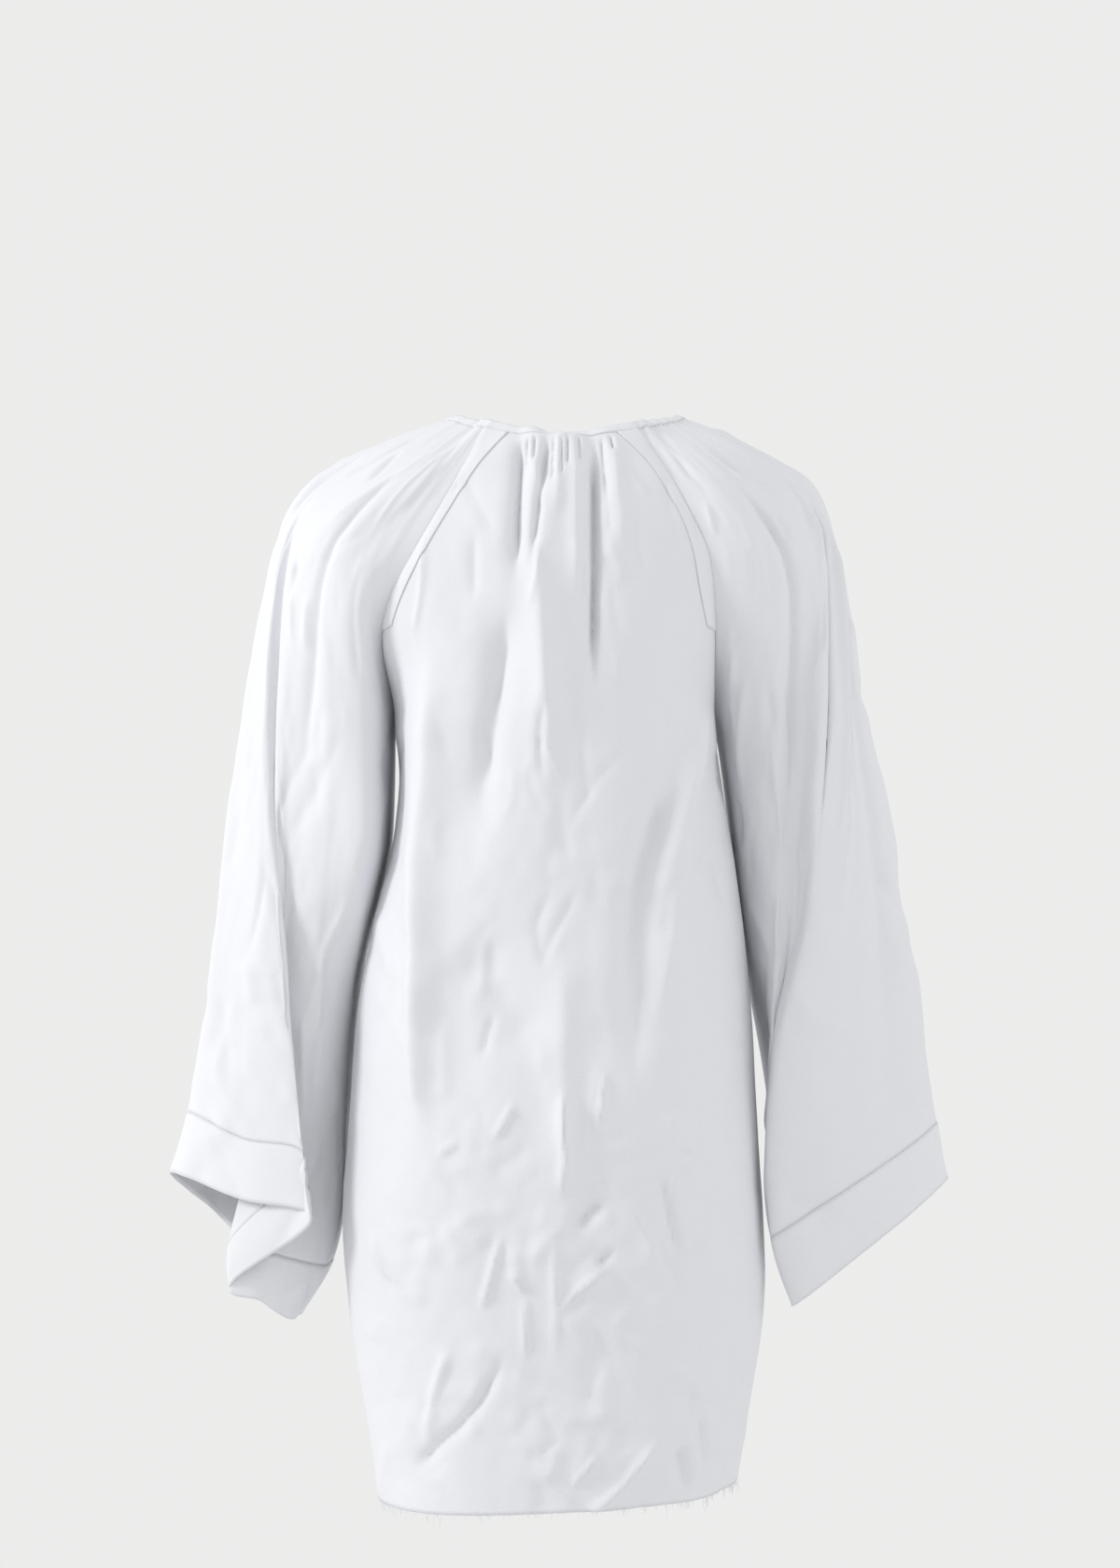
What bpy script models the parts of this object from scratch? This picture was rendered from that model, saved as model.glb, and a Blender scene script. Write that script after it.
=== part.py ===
"""Tunic top: a loose raglan tunic in white cloth, held open as it is worn.

The garment's front faces -Y, its back +Y and its left sleeve +X. The origin is the centre of the
neck opening, level with the sides of the neck. Each cut piece is a thin wall on a grid of points.
"""

from typing import NamedTuple

import bmesh
import bpy
import numpy as np

# Cloth
CLOTH_WALL = 0.0012
CUFF_WALL = 0.0020
BINDING_WALL = 0.0024
LABEL_WALL = 0.0008
SEAM_GAP = 0.0003
HALF_GAP = 0.0002
TRIM_GAP = 0.0010

# Rows and columns of each piece's grid
RAGLAN_ROWS = 10
BODY_ROWS = 12
BACK_COLUMNS = 32
FRONT_COLUMNS = 14
ARM_ROWS = 9
CUFF_ROWS = 2
BAND_COLUMNS = 3
BAND_ROWS = 8

# A fold reaches its full height this many times faster than it runs down
FOLD_START = 10.0
SLEEVE_COLUMNS = 24

# Where along the sleeve, from neck (0) to hem (1), the underarm and the cuff seam lie
UNDERARM_AT = 0.40
CUFF_AT = 0.935

# Trims
BAND_WIDTH = 0.019
BINDING_HEIGHT = 0.0065
FRAY_HEIGHT = 0.007
LABEL_WIDTH = 0.051
LABEL_HEIGHT = 0.014
LABEL_TOP = -0.099
LABEL_CENTRE_X = 0.004
LABEL_INSIDE = 0.010
BINDING_SMOOTHING = 6

# The sleeve's seam below the underarm: how far inside its inner edge, and how far to the front
SEAM_INSET = 0.008
SEAM_DEPTH = 0.65

HEM_LEFT = -0.864
HEM_RIGHT = -0.850
NECK_CENTRE_BACK = (0.002, 0.070, -0.0175)
NECK_CENTRE_FRONT = (0.000, -0.090, -0.060)


class BodySection(NamedTuple):
    """A level section of the body, from side seam to side seam."""

    z: float
    left: float
    right: float
    back: float
    front: float


class RaglanPoint(NamedTuple):
    """A point of a raglan seam, at a share of the way from neck to underarm."""

    share: float
    x: float
    y: float
    z: float


class SleeveSection(NamedTuple):
    """A slanting section of a sleeve, at a share of the way from neck to hem.

    outer is the edge farthest from the body, fold the edge of the near pleat, tuck the bottom of
    the pleat behind it, and inner the edge beside the body. bulge is how far the cloth between
    them stands out at the back, and front how far the front wall lies from the arm's middle.
    """

    at: float
    outer: tuple
    fold: tuple
    tuck: tuple
    inner: tuple
    bulge: float
    front: float


class Fold(NamedTuple):
    """A soft fold of the back, a straight line down the cloth. A trough has a negative height."""

    top: tuple
    bottom: tuple
    half_width: float
    height: float


BODY_SECTIONS = (
    BodySection(-0.010, 0.060, -0.059, 0.070, 0.085),
    BodySection(-0.060, 0.118, -0.108, 0.096, 0.095),
    BodySection(-0.130, 0.138, -0.118, 0.112, 0.112),
    BodySection(-0.235, 0.134, -0.120, 0.118, 0.124),
    BodySection(-0.300, 0.131, -0.129, 0.115, 0.124),
    BodySection(-0.350, 0.138, -0.137, 0.113, 0.123),
    BodySection(-0.400, 0.150, -0.144, 0.112, 0.122),
    BodySection(-0.470, 0.164, -0.151, 0.116, 0.120),
    BodySection(-0.570, 0.171, -0.156, 0.128, 0.120),
    BodySection(-0.640, 0.176, -0.161, 0.130, 0.120),
    BodySection(-0.715, 0.170, -0.161, 0.126, 0.118),
    BodySection(-0.790, 0.158, -0.150, 0.122, 0.116),
    BodySection(-0.870, 0.146, -0.137, 0.120, 0.114),
)

RAGLAN_LEFT_BACK = (
    RaglanPoint(0.00, 0.0600, 0.056, -0.010),
    RaglanPoint(0.28, 0.0900, 0.079, -0.065),
    RaglanPoint(0.50, 0.1170, 0.084, -0.113),
    RaglanPoint(0.66, 0.1350, 0.074, -0.147),
    RaglanPoint(0.80, 0.1420, 0.056, -0.178),
    RaglanPoint(1.00, 0.1340, 0.000, -0.235),
)
RAGLAN_LEFT_FRONT = (
    RaglanPoint(0.00, 0.0760, -0.060, -0.022),
    RaglanPoint(0.28, 0.0950, -0.076, -0.072),
    RaglanPoint(0.50, 0.1140, -0.082, -0.118),
    RaglanPoint(0.66, 0.1300, -0.072, -0.152),
    RaglanPoint(0.80, 0.1400, -0.052, -0.184),
    RaglanPoint(1.00, 0.1340, 0.000, -0.235),
)
RAGLAN_RIGHT_BACK = (
    RaglanPoint(0.00, -0.0590, 0.056, -0.0115),
    RaglanPoint(0.28, -0.0930, 0.080, -0.067),
    RaglanPoint(0.50, -0.1140, 0.080, -0.113),
    RaglanPoint(0.66, -0.1185, 0.068, -0.146),
    RaglanPoint(0.80, -0.1205, 0.050, -0.178),
    RaglanPoint(1.00, -0.1200, 0.000, -0.235),
)
RAGLAN_RIGHT_FRONT = (
    RaglanPoint(0.00, -0.0760, -0.060, -0.022),
    RaglanPoint(0.28, -0.0940, -0.076, -0.072),
    RaglanPoint(0.50, -0.1080, -0.080, -0.118),
    RaglanPoint(0.66, -0.1150, -0.070, -0.152),
    RaglanPoint(0.80, -0.1180, -0.050, -0.184),
    RaglanPoint(1.00, -0.1200, 0.000, -0.235),
)

LEFT_SLEEVE = (
    SleeveSection(0.00, (0.094, 0.000, -0.001), (0.088, 0.025, -0.003), (0.082, 0.034, -0.005), (0.066, 0.050, -0.009), 0.000, 0.020),
    SleeveSection(0.09, (0.151, 0.000, -0.021), (0.143, 0.040, -0.028), (0.134, 0.054, -0.034), (0.100, 0.076, -0.050), 0.004, 0.040),
    SleeveSection(0.18, (0.203, 0.000, -0.052), (0.194, 0.043, -0.066), (0.186, 0.062, -0.078), (0.134, 0.084, -0.096), 0.006, 0.055),
    SleeveSection(0.28, (0.229, 0.000, -0.104), (0.219, 0.037, -0.110), (0.209, 0.054, -0.122), (0.156, 0.086, -0.148), 0.008, 0.060),
    SleeveSection(0.40, (0.246, 0.000, -0.215), (0.230, 0.038, -0.215), (0.217, 0.046, -0.223), (0.147, 0.060, -0.238), 0.012, 0.062),
    SleeveSection(0.52, (0.261, 0.000, -0.310), (0.228, 0.044, -0.318), (0.220, 0.040, -0.326), (0.146, 0.050, -0.335), 0.012, 0.064),
    SleeveSection(0.66, (0.275, 0.000, -0.412), (0.217, 0.052, -0.424), (0.224, 0.036, -0.440), (0.170, 0.012, -0.445), 0.013, 0.066),
    SleeveSection(0.80, (0.289, 0.002, -0.482), (0.211, 0.060, -0.508), (0.238, 0.034, -0.540), (0.180, 0.000, -0.560), 0.014, 0.066),
    SleeveSection(0.935, (0.302, 0.004, -0.557), (0.204, 0.066, -0.592), (0.264, 0.034, -0.656), (0.195, 0.000, -0.680), 0.012, 0.056),
    SleeveSection(1.00, (0.316, 0.006, -0.604), (0.197, 0.068, -0.638), (0.261, 0.036, -0.687), (0.220, 0.000, -0.722), 0.010, 0.048),
)
RIGHT_SLEEVE = (
    SleeveSection(0.00, (-0.097, 0.000, -0.001), (-0.090, 0.026, -0.003), (-0.083, 0.035, -0.005), (-0.066, 0.050, -0.009), 0.000, 0.020),
    SleeveSection(0.09, (-0.149, 0.000, -0.021), (-0.139, 0.040, -0.028), (-0.129, 0.054, -0.034), (-0.100, 0.076, -0.050), 0.004, 0.040),
    SleeveSection(0.18, (-0.200, 0.000, -0.053), (-0.189, 0.043, -0.066), (-0.179, 0.060, -0.078), (-0.130, 0.084, -0.096), 0.006, 0.055),
    SleeveSection(0.28, (-0.220, 0.000, -0.108), (-0.208, 0.046, -0.114), (-0.196, 0.056, -0.124), (-0.138, 0.074, -0.148), 0.008, 0.060),
    SleeveSection(0.40, (-0.238, 0.000, -0.215), (-0.208, 0.056, -0.215), (-0.194, 0.044, -0.223), (-0.136, 0.030, -0.238), 0.012, 0.062),
    SleeveSection(0.52, (-0.255, 0.000, -0.296), (-0.203, 0.058, -0.306), (-0.190, 0.040, -0.316), (-0.143, 0.008, -0.326), 0.014, 0.064),
    SleeveSection(0.66, (-0.272, 0.000, -0.378), (-0.193, 0.058, -0.400), (-0.184, 0.036, -0.412), (-0.154, 0.000, -0.425), 0.016, 0.066),
    SleeveSection(0.80, (-0.289, 0.000, -0.480), (-0.170, 0.056, -0.515), (-0.166, 0.030, -0.510), (-0.168, 0.000, -0.505), 0.020, 0.060),
    SleeveSection(0.935, (-0.301, 0.002, -0.566), (-0.168, 0.046, -0.652), (-0.168, 0.020, -0.655), (-0.192, -0.016, -0.640), 0.022, 0.050),
    SleeveSection(1.00, (-0.309, 0.004, -0.609), (-0.186, 0.040, -0.705), (-0.186, 0.016, -0.706), (-0.210, -0.014, -0.692), 0.020, 0.044),
)

# Folds of the back: the gathers under the neck binding, then the long soft ones
BACK_FOLDS = (
    Fold((-0.0225, -0.010), (-0.0225, -0.225), 0.008, -0.008),
    Fold((0.0330, -0.010), (0.0360, -0.140), 0.008, -0.006),
    Fold((0.0110, -0.010), (0.0230, -0.120), 0.006, -0.004),
    Fold((0.0000, -0.010), (0.0060, -0.090), 0.006, 0.003),
    Fold((-0.0110, -0.010), (-0.0110, -0.160), 0.007, 0.004),
    Fold((0.0220, -0.010), (0.0120, -0.330), 0.012, 0.005),
    Fold((-0.0380, -0.010), (-0.0480, -0.120), 0.008, 0.003),
    Fold((0.0430, -0.150), (0.0720, -0.360), 0.020, -0.006),
    Fold((-0.1090, -0.210), (-0.0700, -0.520), 0.014, 0.008),
    Fold((-0.0880, -0.270), (-0.0500, -0.530), 0.014, -0.008),
    Fold((0.1060, -0.180), (0.1150, -0.560), 0.016, 0.008),
    Fold((0.0000, -0.420), (0.0000, -0.640), 0.014, 0.006),
)
FRONT_FOLDS = (
    Fold((0.0200, -0.060), (0.0300, -0.300), 0.014, -0.006),
    Fold((-0.0250, -0.060), (-0.0450, -0.330), 0.014, -0.006),
    Fold((0.0900, -0.300), (0.1000, -0.700), 0.020, 0.008),
    Fold((-0.0800, -0.350), (-0.0600, -0.720), 0.020, 0.008),
)

# Shares across a sleeve section, from the back seam round to the front seam
SLEEVE_STATIONS = (0.0, 0.09, 0.21, 0.33, 0.41, 0.52, 0.64, 0.76, 0.88, 1.0)


def smooth(knots, values, at):
    """A smooth curve through values at knots, read at the positions in at."""
    knots = np.asarray(knots, float)
    values = np.asarray(values, float).reshape(len(knots), -1)
    slopes = np.gradient(values, knots, axis=0)
    at = np.atleast_1d(np.asarray(at, float))
    index = np.clip(np.searchsorted(knots, at, side="right") - 1, 0, len(knots) - 2)
    span = (knots[index + 1] - knots[index])[:, None]
    u = (at - knots[index])[:, None] / span
    before = values[index] * (1 + 2 * u) * (1 - u) ** 2 + slopes[index] * span * u * (1 - u) ** 2
    after = values[index + 1] * u**2 * (3 - 2 * u) + slopes[index + 1] * span * u**2 * (u - 1)
    return before + after


def ease(value):
    """0 below 0, 1 above 1, and a smooth step between."""
    value = np.clip(value, 0.0, 1.0)
    return value * value * (3 - 2 * value)


def fold_height(folds, x, z):
    """How far the folds lift the cloth at x, z."""
    height = np.zeros_like(x)
    for fold in folds:
        down = (fold.top[1] - z) / (fold.top[1] - fold.bottom[1])
        middle = fold.top[0] + (fold.bottom[0] - fold.top[0]) * down
        width = fold.half_width * (0.6 + 0.6 * np.clip(down, 0, 1))
        fade = ease(down * FOLD_START) * ease((1 - down) * 2)
        height += fold.height * fade * np.exp(-(((x - middle) / width) ** 2))
    return height


def raglan(table, at):
    """Points of a raglan seam at shares of the way from the neck to the underarm."""
    rows = np.array(table)
    return smooth(rows[:, 0], rows[:, 1:], at)


def body_curve(right, left, depth, centre_z, squareness):
    """A fine curve across the body from its right to its left end, standing out to depth between."""
    turn = np.linspace(-1.0, 1.0, 241)
    across = turn * (1 - squareness) + np.sin(turn * np.pi / 2) * squareness
    round_arch = (1 - np.abs(across) ** 2.4) ** (1 / 2.2)
    shallow_arch = 1 - np.abs(across) ** 2.2
    arch = round_arch * squareness + shallow_arch * (1 - squareness)
    to_left = (1 + across) / 2
    x = right[0] + (left[0] - right[0]) * to_left
    end_y = right[1] + (left[1] - right[1]) * to_left
    end_z = right[2] + (left[2] - right[2]) * to_left
    y = end_y + (depth - end_y) * arch
    z = end_z + (centre_z - (left[2] + right[2]) / 2) * (1 - across**2)
    return np.stack([x, y, z], axis=1)


def spread(curve, columns, evenness):
    """Points along a curve: BAND_COLUMNS at each end as wide as a raglan band, the rest even.

    An evenness of 1 makes all of them even.
    """
    steps = np.linalg.norm(np.diff(curve, axis=0), axis=1)
    along = np.concatenate([[0.0], np.cumsum(steps)])
    even = np.linspace(0.0, along[-1], columns + 1)
    band = np.linspace(0.0, BAND_WIDTH, BAND_COLUMNS + 1)
    between = np.linspace(BAND_WIDTH, along[-1] - BAND_WIDTH, columns - 2 * BAND_COLUMNS + 1)
    banded = np.concatenate([band, between[1:-1], along[-1] - band[::-1]])
    wanted = even * evenness + banded * (1 - evenness)
    return np.stack([np.interp(wanted, along, curve[:, axis]) for axis in range(3)], axis=1)


def panel_row(share, down, back):
    """The curve of a panel across the body, before its folds.

    share is how far down the raglan seams it lies, and down how far below the underarm.
    """
    sections = np.array(BODY_SECTIONS)[::-1]
    neck = NECK_CENTRE_BACK if back else NECK_CENTRE_FRONT
    left = raglan(RAGLAN_LEFT_BACK if back else RAGLAN_LEFT_FRONT, share)[0]
    right = raglan(RAGLAN_RIGHT_BACK if back else RAGLAN_RIGHT_FRONT, share)[0]
    centre_z = neck[2] + (left[2] - neck[2]) * share
    if down > 0:
        left[2] += (HEM_LEFT - left[2]) * down
        right[2] += (HEM_RIGHT - right[2]) * down
        left[0] = smooth(sections[:, 0], sections[:, 1], left[2])[0, 0]
        right[0] = smooth(sections[:, 0], sections[:, 2], right[2])[0, 0]
        centre_z = (left[2] + right[2]) / 2
    depth = smooth(sections[:, 0], sections[:, 3 if back else 4], centre_z)[0, 0]
    depth = neck[1] if share == 0 else (depth if back else -depth)
    return body_curve(right, left, depth, centre_z, share**2)


def body_panel(columns, back):
    """The grid of the back or the front, rows from neck to hem, columns from right to left."""
    grid = []
    for row in range(RAGLAN_ROWS + BODY_ROWS + 1):
        share = min(row / RAGLAN_ROWS, 1.0)
        down = max(row - RAGLAN_ROWS, 0) / BODY_ROWS
        curve = panel_row(share, down, back)
        grid.append(spread(curve, columns, ease((row - RAGLAN_ROWS) / 6)))
    grid = np.array(grid)
    lift = fold_height(BACK_FOLDS if back else FRONT_FOLDS, grid[..., 0], grid[..., 2])
    across = np.linspace(-1.0, 1.0, columns + 1)
    grid[..., 1] += (1.0 if back else -1.0) * lift * ease((1 - np.abs(across)) * 5)
    return grid


def sleeve_grid(sections, back_seam, front_seam, rows):
    """The grid of a sleeve at the given shares from neck to hem, columns from the back seam round."""
    knots = [section.at for section in sections]
    outer = smooth(knots, [section.outer for section in sections], rows)
    fold = smooth(knots, [section.fold for section in sections], rows)
    tuck = smooth(knots, [section.tuck for section in sections], rows)
    inner = smooth(knots, [section.inner for section in sections], rows)
    bulge = smooth(knots, [section.bulge for section in sections], rows)
    front = smooth(knots, [section.front for section in sections], rows)
    on_raglan = np.clip(np.asarray(rows) / UNDERARM_AT, 0.0, 1.0)
    below = ease((np.asarray(rows) / UNDERARM_AT - 1.0) * 3.0)[:, None]
    towards_back = np.array([0.0, 1.0, 0.0])

    back_end = raglan(back_seam, on_raglan)
    front_end = raglan(front_seam, on_raglan)
    seam = inner.copy()
    seam[:, 0] -= np.sign(inner[:, 0]) * SEAM_INSET
    seam[:, 1] = -front[:, 0] * SEAM_DEPTH
    back_end = back_end * (1 - below) + seam * below
    front_end = front_end * (1 - below) + seam * below

    middle_of_back = (inner + tuck) / 2 + towards_back * bulge
    middle_of_near = (fold + outer) / 2 + towards_back * bulge
    shares = ((0.33, 1.0), (0.70, 0.95))
    front_points = []
    for share, depth in shares:
        front_points.append(outer + (front_end - outer) * share)
        wanted = -front[:, 0] * depth
        front_points[-1][:, 1] = np.minimum(front_points[-1][:, 1], wanted)
    controls = [back_end, inner, middle_of_back, tuck, fold, middle_of_near, outer, *front_points, front_end]

    around = np.linspace(0.0, 1.0, SLEEVE_COLUMNS + 1)
    grid = [smooth(SLEEVE_STATIONS, [control[row] for control in controls], around) for row in range(len(rows))]
    return np.array(grid)


def normals_of(grid, centre, wraps=False):
    """Unit normals of a grid of points, pointing away from centre."""
    if wraps:
        across = np.roll(grid, -1, axis=1) - np.roll(grid, 1, axis=1)
    else:
        across = np.gradient(grid, axis=1)
    down = np.gradient(grid, axis=0)
    normals = np.cross(across, down)
    normals /= np.linalg.norm(normals, axis=2, keepdims=True)
    if np.sum(normals * (grid - centre)) < 0:
        normals = -normals
    return normals


def share_normals(first, second):
    """Give the ends of two neighbouring pieces the same normals, so that they meet without a step."""
    both = first + second
    both /= np.linalg.norm(both, axis=1, keepdims=True)
    first[:] = both
    second[:] = both


def pull_in(grid, sides):
    """Draw the named sides of a grid in by half a seam's gap."""
    moved = grid.copy()
    steps = {"first": (np.s_[:, 0], np.s_[:, 1]), "last": (np.s_[:, -1], np.s_[:, -2]),
             "top": (np.s_[0], np.s_[1]), "bottom": (np.s_[-1], np.s_[-2])}
    for side in sides:
        edge, beside = steps[side]
        inward = grid[beside] - grid[edge]
        moved[edge] += HALF_GAP * inward / np.linalg.norm(inward, axis=-1, keepdims=True)
    return moved


def cloth_material(name, colour, roughness):
    """A plain cloth material."""
    material = bpy.data.materials.new(name)
    material.use_nodes = True
    shader = material.node_tree.nodes["Principled BSDF"]
    shader.inputs["Base Color"].default_value = (*colour, 1.0)
    shader.inputs["Roughness"].default_value = roughness
    shader.inputs["Metallic"].default_value = 0.0
    return material


def build_wall(name, middle, normals, thickness, colour, wraps=False):
    """One closed body: a wall of the given thickness with middle as its middle surface."""
    rows, columns = middle.shape[:2]
    mesh = bmesh.new()
    sides = []
    for offset in (thickness / 2, -thickness / 2):
        points = middle + normals * offset
        sides.append([[mesh.verts.new(points[i, j]) for j in range(columns)] for i in range(rows)])
    outer, inner = sides
    last = columns if wraps else columns - 1
    for i in range(rows - 1):
        for j in range(last):
            k = (j + 1) % columns
            mesh.faces.new((outer[i][j], outer[i][k], outer[i + 1][k], outer[i + 1][j]))
            mesh.faces.new((inner[i][j], inner[i + 1][j], inner[i + 1][k], inner[i][k]))
    for j in range(last):
        k = (j + 1) % columns
        mesh.faces.new((outer[0][j], inner[0][j], inner[0][k], outer[0][k]))
        mesh.faces.new((outer[-1][j], outer[-1][k], inner[-1][k], inner[-1][j]))
    if not wraps:
        for i in range(rows - 1):
            mesh.faces.new((outer[i][0], outer[i + 1][0], inner[i + 1][0], inner[i][0]))
            mesh.faces.new((outer[i][-1], inner[i][-1], inner[i + 1][-1], outer[i + 1][-1]))
    bmesh.ops.triangulate(mesh, faces=mesh.faces[:])
    bmesh.ops.recalc_face_normals(mesh, faces=mesh.faces[:])
    data = bpy.data.meshes.new(name)
    mesh.to_mesh(data)
    mesh.free()
    data.materials.append(cloth_material(name, colour, 0.85))
    piece = bpy.data.objects.new(name, data)
    bpy.context.scene.collection.objects.link(piece)
    return piece


CLOTH_COLOUR = (0.86, 0.87, 0.90)
TRIM_COLOUR = (0.90, 0.91, 0.93)
LABEL_COLOUR = (0.45, 0.46, 0.50)


def band_on(name, panel, normals, first):
    """A raglan band: the panel's own points beside its raglan seam, moved out to lie on it."""
    columns = np.s_[: BAND_COLUMNS + 1] if first else np.s_[-BAND_COLUMNS - 1 :]
    strip = (np.s_[: BAND_ROWS + 1], columns)
    lifted = panel[strip] + normals[strip] * (CLOTH_WALL + SEAM_GAP)
    return build_wall(name, lifted, normals[strip], CLOTH_WALL, TRIM_COLOUR)


def ring_wall(name, edge, beside, normals, height, thickness, colour):
    """A closed band of the given height that carries on past an edge, away from the row beside it."""
    away = edge - beside
    away /= np.linalg.norm(away, axis=1, keepdims=True)
    rows = [edge + away * TRIM_GAP, edge + away * (TRIM_GAP + height)]
    return build_wall(name, np.array(rows), np.array([normals, normals]), thickness, colour, wraps=True)


def build_binding(back, front, arms):
    """The neck binding: a narrow strip all round the neck's edge.

    Each of back, front and arms is a (grid, normals) pair.
    """
    (back_grid, back_normals), (front_grid, front_normals) = back, front
    (left_grid, left_normals), (right_grid, right_normals) = arms
    halves = (
        (back_grid, back_normals, np.s_[:-1]),
        (left_grid, left_normals, np.s_[:-1]),
        (front_grid, front_normals, np.s_[:0:-1]),
        (right_grid, right_normals, np.s_[:0:-1]),
    )
    edge, beside, normals = (
        np.concatenate([values[part] for values, part in parts])
        for parts in (
            [(grid[0], part) for grid, _, part in halves],
            [(grid[1], part) for grid, _, part in halves],
            [(out[0], part) for _, out, part in halves],
        )
    )
    away = edge - beside
    away /= np.linalg.norm(away, axis=1, keepdims=True)
    for _ in range(BINDING_SMOOTHING):
        away = (np.roll(away, 1, axis=0) + away + np.roll(away, -1, axis=0)) / 3
        normals = (np.roll(normals, 1, axis=0) + normals + np.roll(normals, -1, axis=0)) / 3
    normals /= np.linalg.norm(normals, axis=1, keepdims=True)
    kept = np.s_[::2]
    ring_wall("neck_binding", edge[kept], (edge - away)[kept], normals[kept], BINDING_HEIGHT,
              BINDING_WALL, TRIM_COLOUR)


def build_fray(back, front, back_normals, front_normals):
    """The reach of the loose threads below the raw hem."""
    edge = np.concatenate([back[-1, :-1], front[-1, :0:-1]])
    beside = np.concatenate([back[-2, :-1], front[-2, :0:-1]])
    normals = np.concatenate([back_normals[-1, :-1], front_normals[-1, :0:-1]])
    ring_wall("hem_fray", edge, beside, normals, FRAY_HEIGHT, CLOTH_WALL, CLOTH_COLOUR)


def build_label():
    """The blank neck label: a small strip inside the back, just clear of its folds."""
    across = np.linspace(-0.5, 0.5, 7) * LABEL_WIDTH + LABEL_CENTRE_X
    grid = []
    for z in (LABEL_TOP, LABEL_TOP - LABEL_HEIGHT):
        share = (z - NECK_CENTRE_BACK[2]) / (RAGLAN_LEFT_BACK[-1].z - NECK_CENTRE_BACK[2])
        curve = panel_row(share, 0.0, back=True)
        y = np.interp(across, curve[:, 0], curve[:, 1]) - LABEL_INSIDE
        grid.append([(x, y_here, z) for x, y_here in zip(across, y)])
    grid = np.array(grid)
    normals = np.zeros_like(grid)
    normals[..., 1] = 1.0
    build_wall("neck_label", grid, normals, LABEL_WALL, LABEL_COLOUR)


def build_tunic():
    """Build every piece of the tunic."""
    body_centre = np.array([0.008, 0.0, -0.45])
    back = body_panel(BACK_COLUMNS, back=True)
    front = body_panel(FRONT_COLUMNS, back=False)
    back_normals = normals_of(back, body_centre)
    front_normals = normals_of(front, body_centre)

    raglan_rows = np.linspace(0.0, UNDERARM_AT, RAGLAN_ROWS + 1)
    arm_rows = np.linspace(UNDERARM_AT, CUFF_AT, ARM_ROWS + 1)[1:]
    cuff_rows = np.linspace(CUFF_AT, 1.0, CUFF_ROWS + 1)[1:]
    rows = np.concatenate([raglan_rows, arm_rows, cuff_rows])
    on_raglan = np.s_[: RAGLAN_ROWS + 1]
    below_underarm = np.s_[RAGLAN_ROWS:]
    cuff_row = RAGLAN_ROWS + ARM_ROWS
    sleeves = {
        "left": (sleeve_grid(LEFT_SLEEVE, RAGLAN_LEFT_BACK, RAGLAN_LEFT_FRONT, rows), -1),
        "right": (sleeve_grid(RIGHT_SLEEVE, RAGLAN_RIGHT_BACK, RAGLAN_RIGHT_FRONT, rows), 0),
    }
    share_normals(back_normals[below_underarm, 0], front_normals[below_underarm, 0])
    share_normals(back_normals[below_underarm, -1], front_normals[below_underarm, -1])
    arms = []
    for side, (grid, edge) in sleeves.items():
        normals = normals_of(grid, grid.mean(axis=1, keepdims=True))
        share_normals(normals[below_underarm, 0], normals[below_underarm, -1])
        share_normals(back_normals[on_raglan, edge], normals[on_raglan, 0])
        share_normals(front_normals[on_raglan, edge], normals[on_raglan, -1])
        arm = pull_in(grid, ("first", "last", "top"))
        upper = pull_in(arm[: cuff_row + 1], ("bottom",))
        build_wall(f"{side}_sleeve", upper, normals[: cuff_row + 1], CLOTH_WALL, CLOTH_COLOUR)
        cuff = pull_in(arm[cuff_row:], ("top",))
        build_wall(f"{side}_cuff", cuff, normals[cuff_row:], CUFF_WALL, TRIM_COLOUR)
        arms.append((grid, normals))

    all_sides = ("first", "last", "top", "bottom")
    build_wall("back_panel", pull_in(back, all_sides), back_normals, CLOTH_WALL, CLOTH_COLOUR)
    build_wall("front_panel", pull_in(front, all_sides), front_normals, CLOTH_WALL, CLOTH_COLOUR)
    for side, first in (("left", False), ("right", True)):
        band_on(f"{side}_back_band", pull_in(back, all_sides), back_normals, first)
        band_on(f"{side}_front_band", pull_in(front, all_sides), front_normals, first)
    build_binding((back, back_normals), (front, front_normals), arms)
    build_fray(back, front, back_normals, front_normals)
    build_label()


def main():
    """Clear the scene and build the tunic in it."""
    for thing in list(bpy.data.objects):
        bpy.data.objects.remove(thing)
    build_tunic()


main()
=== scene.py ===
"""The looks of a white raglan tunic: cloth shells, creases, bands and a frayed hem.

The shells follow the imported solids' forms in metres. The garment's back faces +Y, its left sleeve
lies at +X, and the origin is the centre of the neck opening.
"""

import logging
import math
from dataclasses import dataclass, field
from enum import Enum
from typing import Any, NamedTuple, Sequence

import bpy
import numpy as np
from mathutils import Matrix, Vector


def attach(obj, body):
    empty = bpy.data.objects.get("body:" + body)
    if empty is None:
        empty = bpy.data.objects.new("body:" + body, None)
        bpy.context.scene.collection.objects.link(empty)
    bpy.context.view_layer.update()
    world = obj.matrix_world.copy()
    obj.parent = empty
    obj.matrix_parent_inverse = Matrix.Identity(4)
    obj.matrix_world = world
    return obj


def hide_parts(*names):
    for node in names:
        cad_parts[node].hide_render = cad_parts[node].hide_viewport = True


Array = np.ndarray
Point = tuple[float, float, float]
Flat = tuple[float, float]

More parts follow.
